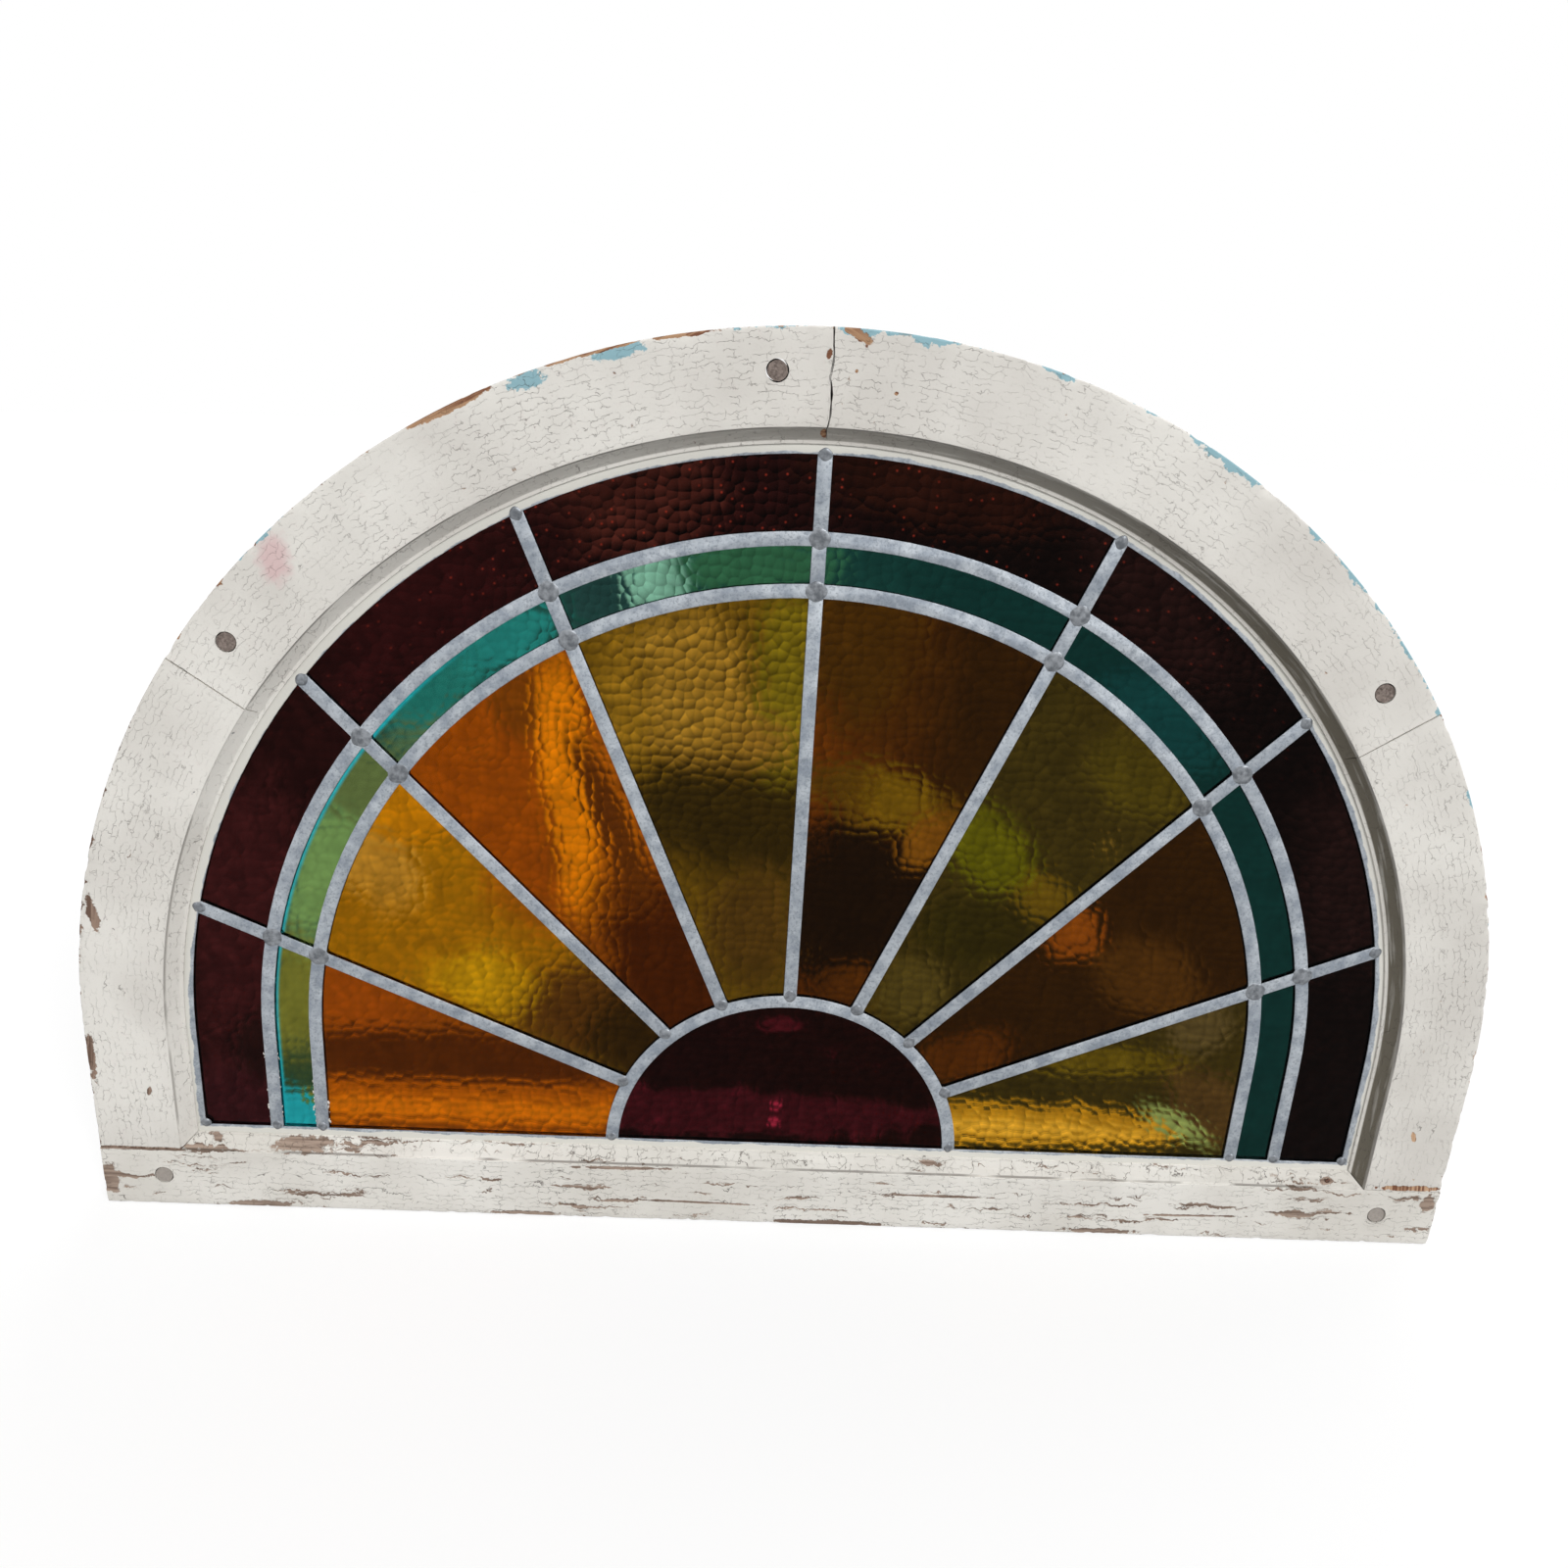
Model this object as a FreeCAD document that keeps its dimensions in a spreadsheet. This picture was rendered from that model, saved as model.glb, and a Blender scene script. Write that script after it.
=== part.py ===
"""Sunburst fanlight: a pegged wooden arch sash round a leaded panel of coloured glass.

Millimetres, +Z up. X runs along the bottom rail, the moulded face looks towards -Y and
the origin lies under the middle of the rail. The arch is a semicircle on short upright
legs. Seven lead spokes fan out from a half-round sun pane and cross two lead rings.
"""
import FreeCAD
import Part
import math
import os
import Sketcher
from types import SimpleNamespace

# Driving dimensions, in millimetres and degrees
SIZES = {
    # wooden sash
    "sash_width": 1016,
    "sash_thickness": 35,
    "arch_centre_height": 145,
    "rim_face_width": 59.5,
    "rail_face_height": 49,
    "moulding_width": 10.5,
    "moulding_depth": 10,
    "quirk_depth": 1.2,
    "lip_width": 2.5,
    "lip_depth": 1.5,
    "rebate_width": 8,
    # pegged tenon joints
    "side_joint_angle": 34,
    "tenon_thickness": 12,
    "tenon_length": 48,
    "rail_tenon_length": 38,
    "tenon_inner_margin": 2,
    "tenon_outer_margin": 13,
    "tenon_clearance": 0.25,
    "peg_diameter": 13,
    "peg_clearance": 0.15,
    "peg_recess": 0.5,
    "peg_setback": 33,
    "peg_edge_distance": 27,
    "rail_peg_inset": 45,
    "rail_peg_height": 26,
    # leaded panel
    "glass_thickness": 3,
    "came_width": 9.5,
    "came_flange": 1.2,
    "came_heart": 1.5,
    "edge_came_sight": 6,
    "panel_clearance": 0.5,
    "glass_gap": 0.5,
    "sun_radius": 128,
    "ruby_band_width": 59,
    "teal_band_width": 34,
    "fan_lift": 3.5,
    "low_spoke_angle": 23.5,
    "middle_spoke_angle": 46.3,
    "high_spoke_angle": 67.5,
    "crossing_solder_diameter": 15,
    "butt_solder_diameter": 10.5,
    "solder_height": 1.2,
    # glazing putty
    "putty_depth": 13,
}

doc = FreeCAD.newDocument("sunburst_fanlight")
sheet = doc.addObject("Spreadsheet::Sheet", "Sizes")


class Size:
    """A size that carries its number and the sheet expression that gives it."""

    def __init__(self, number, text):
        self.number = number
        self.text = text

    def __add__(self, other):
        return Size(self.number + number_of(other), "(%s + %s)" % (self.text, text_of(other)))

    def __sub__(self, other):
        return Size(self.number - number_of(other), "(%s - %s)" % (self.text, text_of(other)))

    def __mul__(self, other):
        return Size(self.number * number_of(other), "(%s * %s)" % (self.text, text_of(other)))

    def __truediv__(self, other):
        return Size(self.number / number_of(other), "(%s / %s)" % (self.text, text_of(other)))

    def __neg__(self):
        return Size(-self.number, "(0 - %s)" % self.text)


def number_of(value):
    return value.number if isinstance(value, Size) else float(value)


def text_of(value):
    return value.text if isinstance(value, Size) else repr(float(value))


def cosine(angle):
    return Size(math.cos(math.radians(angle.number)), "cos(%s)" % angle.text)


def sine(angle):
    return Size(math.sin(math.radians(angle.number)), "sin(%s)" % angle.text)


def root(value):
    return Size(math.sqrt(value.number), "sqrt(%s)" % value.text)


def fill_sheet():
    """Write the driving dimensions into the sheet and return them by name."""
    named = {}
    for row, (alias, number) in enumerate(SIZES.items(), start=1):
        cell = "A%d" % row
        sheet.set(cell, str(number))
        sheet.setAlias(cell, alias)
        named[alias] = Size(float(number), "Sizes.%s" % alias)
    doc.recompute()
    return SimpleNamespace(**named)


dim = fill_sheet()
NONE = Size(0.0, "0")
RIGHT_ANGLE = Size(90.0, "90")

# Wooden sash, worked out from the driving dimensions
outer_radius = dim.sash_width / 2
face_radius = outer_radius - dim.rim_face_width
sight_radius = face_radius - dim.moulding_width
rebate_radius = sight_radius + dim.rebate_width
sight_height = dim.rail_face_height + dim.moulding_width
rebate_floor = sight_height - dim.rebate_width
front = -(dim.sash_thickness / 2)
back = dim.sash_thickness / 2

# Depths of the leaded panel, which beds on the rebate from the back
panel_front = front + dim.moulding_depth
glass_front = panel_front + dim.came_flange
glass_back = glass_front + dim.glass_thickness
panel_back = glass_back + dim.came_flange

# Edge came round the arch and sill came along the rail, both closed on the outer side
edge_outer = rebate_radius - dim.panel_clearance
edge_heart = edge_outer - dim.came_heart
edge_inner = sight_radius - dim.edge_came_sight
sill_bottom = rebate_floor + dim.panel_clearance
sill_heart = sill_bottom + dim.came_heart
sill_top = sight_height + dim.edge_came_sight

# Rings are set out inwards from the sight line
outer_ring_radius = sight_radius - dim.ruby_band_width
inner_ring_radius = outer_ring_radius - dim.teal_band_width
half_came = dim.came_width / 2
fan_height = sight_height + dim.fan_lift

# Glass stops short of the hearts of the cames that hold it
pane_edge = dim.came_heart / 2 + dim.glass_gap
pane_foot = sill_heart + dim.glass_gap
pane_rim = edge_heart - dim.glass_gap

SPOKE_ANGLES = [
    dim.low_spoke_angle,
    dim.middle_spoke_angle,
    dim.high_spoke_angle,
    RIGHT_ANGLE,
    RIGHT_ANGLE * 2 - dim.high_spoke_angle,
    RIGHT_ANGLE * 2 - dim.middle_spoke_angle,
    RIGHT_ANGLE * 2 - dim.low_spoke_angle,
]


# Helpers for sketches, features and places


def bind(item, path, size):
    item.setExpression(path, text_of(size))


def add(kind, name):
    item = doc.addObject(kind, name)
    item.Label = name
    return item


def place(item, x, y, z, angle=None, centre=NONE):
    """Put an item at fan coordinates: x along a ray turned by angle, z square to it."""
    turn = angle if angle is not None else NONE
    axis = FreeCAD.Vector(0, -1, 0)
    item.Placement = FreeCAD.Placement(FreeCAD.Vector(), FreeCAD.Rotation(axis, turn.number))
    if angle is not None:
        bind(item, "Placement.Rotation.Angle", turn)
    bind(item, "Placement.Base.x", x * cosine(turn) - z * sine(turn))
    bind(item, "Placement.Base.y", y)
    bind(item, "Placement.Base.z", centre + x * sine(turn) + z * cosine(turn))


def body_at(name, height=NONE, angle=None):
    body = add("PartDesign::Body", name)
    place(body, NONE, NONE, NONE, angle, height)
    return body


def plane_of(body, role):
    return [item for item in body.Origin.OriginFeatures if item.Role == role][0]


def sketch_on(body, role):
    sketch = body.newObject("Sketcher::SketchObject", body.Name + "_sketch")
    sketch.AttachmentSupport = [(plane_of(body, role), "")]
    sketch.MapMode = "FlatFace"
    return sketch


def outline(sketch, corners):
    """Draw a closed outline with every corner tied to the sheet."""
    points = [FreeCAD.Vector(x.number, y.number, 0) for x, y in corners]
    first = sketch.GeometryCount
    count = len(points)
    for index, start in enumerate(points):
        end = points[(index + 1) % count]
        sketch.addGeometry(Part.LineSegment(start, end), False)
    for index, (x, y) in enumerate(corners):
        following = first + (index + 1) % count
        sketch.addConstraint(Sketcher.Constraint("Coincident", first + index, 2, following, 1))
        for kind, size in (("DistanceX", x), ("DistanceY", y)):
            datum = sketch.addConstraint(
                Sketcher.Constraint(kind, -1, 1, first + index, 1, size.number))
            bind(sketch, "Constraints[%d]" % datum, size)


def revolve(body, sketch, angle):
    """Turn a section upwards about the body's Y axis."""
    turned = body.newObject("PartDesign::Revolution", body.Name + "_arc")
    turned.Profile = sketch
    turned.ReferenceAxis = (sketch, ["V_Axis"])
    turned.Reversed = True
    bind(turned, "Angle", angle)
    return turned


def pad(body, sketch, length, name, symmetric=False, reverse=False):
    grown = body.newObject("PartDesign::Pad", body.Name + name)
    grown.Profile = sketch
    grown.Midplane = symmetric
    grown.Reversed = reverse
    bind(grown, "Length", length)
    return grown


def pocket_through(body, sketch):
    cut = body.newObject("PartDesign::Pocket", body.Name + "_mitre")
    cut.Profile = sketch
    cut.Midplane = True
    cut.Type = "ThroughAll"
    return cut


def box(name, length, width, height):
    block = add("Part::Box", name)
    bind(block, "Length", length)
    bind(block, "Width", width)
    bind(block, "Height", height)
    return block


def cylinder_through(name, radius, start, end):
    """Round bar along Y from one depth to another, centred on the origin."""
    bar = add("Part::Cylinder", name)
    bar.Placement = FreeCAD.Placement(
        FreeCAD.Vector(), FreeCAD.Rotation(FreeCAD.Vector(1, 0, 0), -90))
    bind(bar, "Radius", radius)
    bind(bar, "Height", end - start)
    bind(bar, "Placement.Base.y", start)
    return bar


def move_round(bar, x, z, angle=NONE, centre=NONE):
    """Move a round item to fan coordinates; being round it needs no turning."""
    bind(bar, "Placement.Base.x", x * cosine(angle) - z * sine(angle))
    bind(bar, "Placement.Base.z", centre + x * sine(angle) + z * cosine(angle))
    return bar


def cut(name, base, tools):
    tool = tools[0]
    if len(tools) > 1:
        tool = add("Part::MultiFuse", name + "_tools")
        tool.Shapes = tools
    item = add("Part::Cut", name)
    item.Base = base
    item.Tool = tool
    return item


def common(name, shapes):
    item = add("Part::MultiCommon", name)
    item.Shapes = shapes
    return item


def fuse(name, shapes):
    item = add("Part::MultiFuse", name)
    item.Shapes = shapes
    item.Refine = True
    return item


def group(name, items):
    """Several like solids that don't touch, kept as one node."""
    item = add("Part::Compound", name)
    item.Links = items
    return item


def mirror(name, source):
    """Mirror image across the upright centre plane."""
    item = add("Part::Mirroring", name)
    item.Source = source
    item.Normal = FreeCAD.Vector(1, 0, 0)
    return item


def arched_strip(name, corners, foot):
    """Section swept over the semicircle and down both legs; corners are (radius, depth)."""
    body = body_at(name, dim.arch_centre_height)
    section = sketch_on(body, "XY_Plane")
    outline(section, corners)
    revolve(body, section, RIGHT_ANGLE * 2)
    leg = pad(body, section, dim.arch_centre_height - foot, "_leg", reverse=True)
    other = body.newObject("PartDesign::Mirrored", name + "_other_leg")
    other.Originals = [leg]
    other.MirrorPlane = (plane_of(body, "YZ_Plane"), [""])
    body.Tip = other
    return body


# Wooden sash


def sash_section(face_width, edge=None):
    """Corners of the sash moulding as (across, depth); a rim is measured in from its edge."""

    def across(distance):
        return distance if edge is None else edge - distance

    sight = face_width + dim.moulding_width
    lip_front = panel_front - dim.lip_depth
    return [
        (across(NONE), front),
        (across(face_width), front),
        (across(face_width), front + dim.quirk_depth),
        (across(sight - dim.lip_width), lip_front),
        (across(sight), lip_front),
        (across(sight), panel_front),
        (across(sight - dim.rebate_width), panel_front),
        (across(sight - dim.rebate_width), back),
        (across(NONE), back),
    ]


def rim_body(name, start, sweep):
    """Curved length of the rim between two joint angles."""
    body = body_at(name, dim.arch_centre_height, start)
    section = sketch_on(body, "XY_Plane")
    outline(section, sash_section(dim.rim_face_width, outer_radius))
    revolve(body, section, sweep)
    return body, section


def lower_rim_body(name):
    """Springing length of the rim with its upright leg, mitred where it meets the rail."""
    body, section = rim_body(name, None, dim.side_joint_angle)
    pad(body, section, dim.arch_centre_height - dim.rail_face_height, "_leg", reverse=True)
    shoulder = dim.rail_face_height - dim.arch_centre_height
    far_x = sight_radius - dim.moulding_width
    far_z = shoulder + dim.moulding_width * 2
    mitre = sketch_on(body, "XZ_Plane")
    outline(mitre, [(face_radius, shoulder), (far_x, far_z), (far_x, shoulder)])
    pocket_through(body, mitre)
    return body


def rail_body(name):
    """Bottom rail whose moulding is mitred at both ends down to the rim's shoulders."""
    body = body_at(name)
    section = sketch_on(body, "YZ_Plane")
    outline(section, [(depth, across) for across, depth in sash_section(dim.rail_face_height)])
    pad(body, section, dim.sash_width, "_length", symmetric=True)
    mitre = sketch_on(body, "XZ_Plane")
    end = outer_radius + dim.moulding_width
    high = sight_height + dim.moulding_width
    trim = [(face_radius, dim.rail_face_height), (end, dim.rail_face_height), (end, high),
            (sight_radius - dim.moulding_width, high)]
    outline(mitre, trim)
    outline(mitre, [(-x, z) for x, z in reversed(trim)])
    pocket_through(body, mitre)
    return body


def tenon_block(name, length, side, angle=NONE, centre=None, room=NONE):
    """Tenon, or with room the mortise for it, standing on a joint line across the rim."""
    inner = face_radius + dim.tenon_inner_margin
    outer = outer_radius - dim.tenon_outer_margin
    reach = length + room
    block = box(name, outer - inner + room * 2, dim.tenon_thickness + room * 2, reach)
    height = dim.arch_centre_height if centre is None else centre
    lowest = NONE if side > 0 else -reach
    place(block, inner - room, -(dim.tenon_thickness / 2 + room), lowest, angle, height)
    return block


def peg_bar(name, x, z, angle, centre, room, recess):
    """Peg, or with room the hole for it, driven through a joint from front to back."""
    bar = cylinder_through(name, dim.peg_diameter / 2 + room, front + recess, back - recess)
    return move_round(bar, x, z, angle, centre)


def make_sash():
    """Four rim pieces, the bottom rail and the five pegs that lock their tenons."""
    room = dim.tenon_clearance
    left_joint = RIGHT_ANGLE * 2 - dim.side_joint_angle
    peg_radius = outer_radius - dim.peg_edge_distance
    rail_peg_x = outer_radius - dim.rail_peg_inset
    rail_peg_drop = dim.rail_peg_height - dim.rail_face_height
    shoulder = dim.rail_face_height
    arch = dim.arch_centre_height

    peg_places = {
        "right_rim": (peg_radius, dim.peg_setback, dim.side_joint_angle, arch),
        "top_rim": (peg_radius, dim.peg_setback, RIGHT_ANGLE, arch),
        "left_rim": (peg_radius, -dim.peg_setback, left_joint, arch),
        "right_rail": (rail_peg_x, rail_peg_drop, NONE, shoulder),
        "left_rail": (-rail_peg_x, rail_peg_drop, NONE, shoulder),
    }
    holes = {}
    pegs = []
    for key, where in peg_places.items():
        holes[key] = peg_bar(key + "_peg_hole", *where, dim.peg_clearance, NONE)
        pegs.append(peg_bar(key + "_peg", *where, NONE, dim.peg_recess))

    right_lower = cut("right_lower_rim", fuse("right_lower_rim_blank", [
        lower_rim_body("right_lower_rim_body"),
        tenon_block("right_side_tenon", dim.tenon_length, 1, dim.side_joint_angle),
        tenon_block("right_rail_tenon", dim.rail_tenon_length, -1, centre=shoulder),
    ]), [holes["right_rim"], holes["right_rail"]])
    left_lower = mirror("left_lower_rim", right_lower)

    upper_sweep = RIGHT_ANGLE - dim.side_joint_angle
    right_body, _ = rim_body("right_upper_rim_body", dim.side_joint_angle, upper_sweep)
    right_upper = cut("right_upper_rim", fuse("right_upper_rim_blank", [
        right_body,
        tenon_block("top_tenon", dim.tenon_length, 1, RIGHT_ANGLE),
    ]), [
        tenon_block("right_side_mortise", dim.tenon_length, 1, dim.side_joint_angle, room=room),
        holes["right_rim"],
        holes["top_rim"],
    ])
    left_body, _ = rim_body("left_upper_rim_body", RIGHT_ANGLE, upper_sweep)
    left_upper = cut("left_upper_rim", left_body, [
        tenon_block("top_mortise", dim.tenon_length, 1, RIGHT_ANGLE, room=room),
        tenon_block("left_side_mortise", dim.tenon_length, -1, left_joint, room=room),
        holes["top_rim"],
        holes["left_rim"],
    ])

    rail_mortise = tenon_block("right_rail_mortise", dim.rail_tenon_length, -1,
                               centre=shoulder, room=room)
    rail = cut("bottom_rail", rail_body("bottom_rail_body"), [
        rail_mortise,
        mirror("left_rail_mortise", rail_mortise),
        holes["right_rail"],
        holes["left_rail"],
    ])
    return [rail, right_lower, left_lower, right_upper, left_upper, group("joint_pegs", pegs)]


# Lead cames


def came_section(centre):
    """H-shaped corners of a came as (across, depth): two flanges on a narrow heart."""
    left = centre - half_came
    right = centre + half_came
    heart_left = centre - dim.came_heart / 2
    heart_right = centre + dim.came_heart / 2
    return [
        (left, panel_front),
        (right, panel_front),
        (right, glass_front),
        (heart_right, glass_front),
        (heart_right, glass_back),
        (right, glass_back),
        (right, panel_back),
        (left, panel_back),
        (left, glass_back),
        (heart_left, glass_back),
        (heart_left, glass_front),
        (left, glass_front),
    ]


def edge_section(outer, heart, inner):
    """U-shaped corners of an edge came as (across, depth), open towards the glass."""
    return [
        (outer, panel_front),
        (inner, panel_front),
        (inner, glass_front),
        (heart, glass_front),
        (heart, glass_back),
        (inner, glass_back),
        (inner, panel_back),
        (outer, panel_back),
    ]


def came_bar(name, corners, length, symmetric):
    """Straight came along X from its section."""
    body = body_at(name)
    section = sketch_on(body, "YZ_Plane")
    outline(section, [(depth, across) for across, depth in corners])
    pad(body, section, length, "_length", symmetric=symmetric)
    return body


def make_sun_lead():
    """Half-round came of the sun, cut off level on the sill came."""
    body = body_at("sun_lead_body", sight_height)
    section = sketch_on(body, "XY_Plane")
    outline(section, came_section(dim.sun_radius))
    revolve(body, section, RIGHT_ANGLE * 2)
    below = box("below_sun_lead", dim.sash_width, dim.sash_thickness, sill_top)
    place(below, -outer_radius, front, NONE)
    return cut("sun_lead", body, [below])


def bay(name, inner, outer, start, end, foot):
    """Flat arched zone between two cames, from one depth to another."""
    return arched_strip(name, [(inner, start), (outer, start), (outer, end), (inner, end)], foot)


def outside_sun(name, zone, radius, start, end):
    disc = move_round(cylinder_through(name + "_sun", radius, start, end), NONE, sight_height)
    return cut(name, zone, [disc])


def make_spokes():
    """Seven spokes, each in three lengths that butt on the sun, the rings and the edge came."""
    depths = (panel_front, panel_back, sill_top)
    inner_bay = outside_sun(
        "inner_spoke_bay",
        bay("inner_spoke_plate", NONE, inner_ring_radius - half_came, *depths),
        dim.sun_radius + half_came, panel_front, panel_back)
    bays = group("spoke_bays", [
        inner_bay,
        bay("middle_spoke_bay", inner_ring_radius + half_came,
            outer_ring_radius - half_came, *depths),
        bay("outer_spoke_bay", outer_ring_radius + half_came, edge_inner, *depths),
    ])
    spokes = []
    for number, angle in enumerate(reversed(SPOKE_ANGLES), start=1):
        bar = came_bar("spoke_bar_%d" % number, came_section(NONE), dim.sash_width, False)
        place(bar, NONE, NONE, NONE, angle, fan_height)
        spokes.append(common("spoke_lead_%d" % number, [bar, bays]))
    return spokes


def ray_length(angle, radius, centre_above):
    """Distance along a spoke from the fan point to a circle centred above that point."""
    shift = centre_above * cosine(angle)
    return centre_above * sine(angle) + root(radius * radius - shift * shift)


def solder_drop(name, diameter, start):
    """Low eight-sided drop of solder along Y, seated on one face of the cames."""
    drop = add("Part::Prism", name)
    drop.Placement = FreeCAD.Placement(
        FreeCAD.Vector(), FreeCAD.Rotation(FreeCAD.Vector(1, 0, 0), -90))
    drop.Polygon = 8
    bind(drop, "Circumradius", diameter / 2)
    bind(drop, "Height", dim.solder_height)
    bind(drop, "Placement.Base.y", start)
    return drop


def make_solder():
    """Solder at every crossing and butt of the cames, on both faces of the panel."""
    arch_above = dim.arch_centre_height - fan_height
    spots = []
    for angle in SPOKE_ANGLES:
        for radius in (inner_ring_radius, outer_ring_radius):
            reach = ray_length(angle, radius, arch_above)
            spots.append((dim.crossing_solder_diameter, reach, NONE, angle, fan_height))
        sun_reach = ray_length(angle, dim.sun_radius + half_came, -dim.fan_lift)
        edge_reach = ray_length(angle, edge_inner, arch_above)
        spots.append((dim.butt_solder_diameter, sun_reach, NONE, angle, fan_height))
        spots.append((dim.butt_solder_diameter, edge_reach, NONE, angle, fan_height))
    rise = sill_top - sight_height
    sun_foot = root(dim.sun_radius * dim.sun_radius - rise * rise)
    for x in (sun_foot, inner_ring_radius, outer_ring_radius, edge_inner):
        spots.append((dim.butt_solder_diameter, x, NONE, NONE, sill_top))
        spots.append((dim.butt_solder_diameter, -x, NONE, NONE, sill_top))
    drops = []
    for number, (diameter, x, z, angle, centre) in enumerate(spots, start=1):
        for face, start in (("front", panel_front - dim.solder_height), ("back", panel_back)):
            drop = solder_drop("%s_drop_%d" % (face, number), diameter, start)
            drops.append(move_round(drop, x, z, angle, centre))
    return group("solder_joints", drops)


def make_lead():
    """Cames of the panel; everything upright stands on the sill came."""
    rings = [
        arched_strip("inner_ring_lead", came_section(inner_ring_radius), sill_top),
        arched_strip("outer_ring_lead", came_section(outer_ring_radius), sill_top),
        arched_strip("edge_lead", edge_section(edge_outer, edge_heart, edge_inner), sill_top),
    ]
    sill_corners = edge_section(sill_bottom, sill_heart, sill_top)
    sill = came_bar("sill_lead", sill_corners, edge_outer * 2, True)
    return [make_sun_lead(), sill] + rings + make_spokes() + [make_solder()]


# Glass


def make_glass():
    """A sun pane and eight sectors of amber, teal and ruby panes, numbered from the left."""
    depths = (glass_front, glass_back, pane_foot)
    amber_zone = outside_sun(
        "amber_zone",
        bay("amber_plate", NONE, inner_ring_radius - pane_edge, *depths),
        dim.sun_radius + pane_edge, glass_front, glass_back)
    teal_zone = bay("teal_zone", inner_ring_radius + pane_edge,
                    outer_ring_radius - pane_edge, *depths)
    ruby_zone = bay("ruby_zone", outer_ring_radius + pane_edge, pane_rim, *depths)

    over = []
    under = []
    for number, angle in enumerate(reversed(SPOKE_ANGLES), start=1):
        above = box("over_spoke_%d" % number, dim.sash_width, dim.sash_thickness, dim.sash_width)
        place(above, NONE, front, pane_edge, angle, fan_height)
        over.append(above)
        below = box("under_spoke_%d" % number, dim.sash_width, dim.sash_thickness, dim.sash_width)
        place(below, NONE, front, -(dim.sash_width + pane_edge), angle, fan_height)
        under.append(below)

    sectors = [[over[0]]]
    for index in range(1, len(SPOKE_ANGLES)):
        sectors.append([under[index - 1], over[index]])
    sectors.append([under[-1]])

    disc = cylinder_through("sun_disc", dim.sun_radius - pane_edge, glass_front, glass_back)
    move_round(disc, NONE, sight_height)
    above_sill = box("above_sill", dim.sash_width, dim.sash_thickness, dim.sash_width)
    place(above_sill, -outer_radius, front, pane_foot)
    panes = [common("sun_pane", [disc, above_sill])]
    for colour, zone in (("amber", amber_zone), ("teal", teal_zone), ("ruby", ruby_zone)):
        for number, sides in enumerate(sectors, start=1):
            panes.append(common("%s_pane_%d" % (colour, number), [zone] + sides))
    return panes


# Glazing putty


def make_putty():
    """Putty fillet behind the panel, round the arch and along the rail, mitred into one loop."""
    putty_back = panel_back + dim.putty_depth
    arch = arched_strip("arch_putty", [
        (sight_radius, panel_back), (rebate_radius, panel_back), (rebate_radius, putty_back),
    ], sight_height)
    sill = body_at("sill_putty")
    section = sketch_on(sill, "YZ_Plane")
    outline(section, [
        (panel_back, sight_height), (panel_back, rebate_floor), (putty_back, rebate_floor),
    ])
    pad(sill, section, rebate_radius * 2, "_length", symmetric=True)
    wedge = body_at("putty_corner_leg", sight_height)
    leg = sketch_on(wedge, "XY_Plane")
    outline(leg, [
        (sight_radius, panel_back), (rebate_radius, panel_back), (rebate_radius, putty_back),
    ])
    pad(wedge, leg, sight_height - rebate_floor, "_length", reverse=True)
    return fuse("back_putty", [arch, sill, wedge, mirror("putty_other_corner", wedge)])


def check(parts):
    """Stop before writing if anything failed to build."""
    for item in doc.Objects:
        if {"Invalid", "Error"} & set(item.State):
            raise RuntimeError("%s failed: %s" % (item.Name, item.State))
    for item in parts:
        if item.Shape.isNull() or not item.Shape.isValid() or not item.Shape.Solids:
            raise RuntimeError("%s has no valid solid" % item.Label)


def main():
    parts = make_sash() + make_lead() + make_glass() + [make_putty()]
    doc.recompute()
    check(parts)
    os.makedirs("parts", exist_ok=True)
    for item in parts:
        item.Shape.exportStep("parts/%s.step" % item.Label)
        print("%-18s solids %2d  volume %10.1f" % (
            item.Label, len(item.Shape.Solids), item.Shape.Volume))


main()
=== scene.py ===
"""Looks of the sunburst fanlight: worn painted sash, dressed lead and hammered glass.

Metres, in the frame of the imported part: +Z up, the moulded face towards -Y.
"""

import math
import random

import bpy
from mathutils import Matrix, Vector


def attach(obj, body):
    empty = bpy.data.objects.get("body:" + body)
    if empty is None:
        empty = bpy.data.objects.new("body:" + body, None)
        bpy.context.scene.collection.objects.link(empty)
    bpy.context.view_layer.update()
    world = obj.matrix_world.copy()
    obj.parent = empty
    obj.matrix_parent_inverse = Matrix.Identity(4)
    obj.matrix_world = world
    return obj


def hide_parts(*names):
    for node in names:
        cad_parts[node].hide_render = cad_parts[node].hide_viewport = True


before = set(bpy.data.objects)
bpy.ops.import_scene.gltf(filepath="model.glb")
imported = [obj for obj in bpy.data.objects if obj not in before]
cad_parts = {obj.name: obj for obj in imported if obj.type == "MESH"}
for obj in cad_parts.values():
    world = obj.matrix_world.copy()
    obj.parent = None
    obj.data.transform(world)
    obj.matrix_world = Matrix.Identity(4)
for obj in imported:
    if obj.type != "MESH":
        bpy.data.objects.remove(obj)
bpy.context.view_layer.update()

MM = 0.001

# Sizes repeated from the part, in metres
OUTER_RADIUS = 508 * MM
ARCH_CENTRE = 145 * MM
RIM_FACE = 59.5 * MM
RAIL_FACE = 49 * MM
MOULDING = 10.5 * MM
QUIRK = 1.2 * MM
LIP = 2.5 * MM
REBATE = 8 * MM
FRONT = -17.5 * MM
BACK = 17.5 * MM
LIP_FRONT = -9 * MM
PANEL_FRONT = -7.5 * MM
GLASS_FRONT = -6.3 * MM
PANEL_BACK = -2.1 * MM
SIDE_JOINT = math.radians(34)
TOP_JOINT = math.radians(90)
FACE_RADIUS = OUTER_RADIUS - RIM_FACE
SIGHT_RADIUS = FACE_RADIUS - MOULDING
SIGHT_HEIGHT = RAIL_FACE + MOULDING
FAN_HEIGHT = 63 * MM
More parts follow.
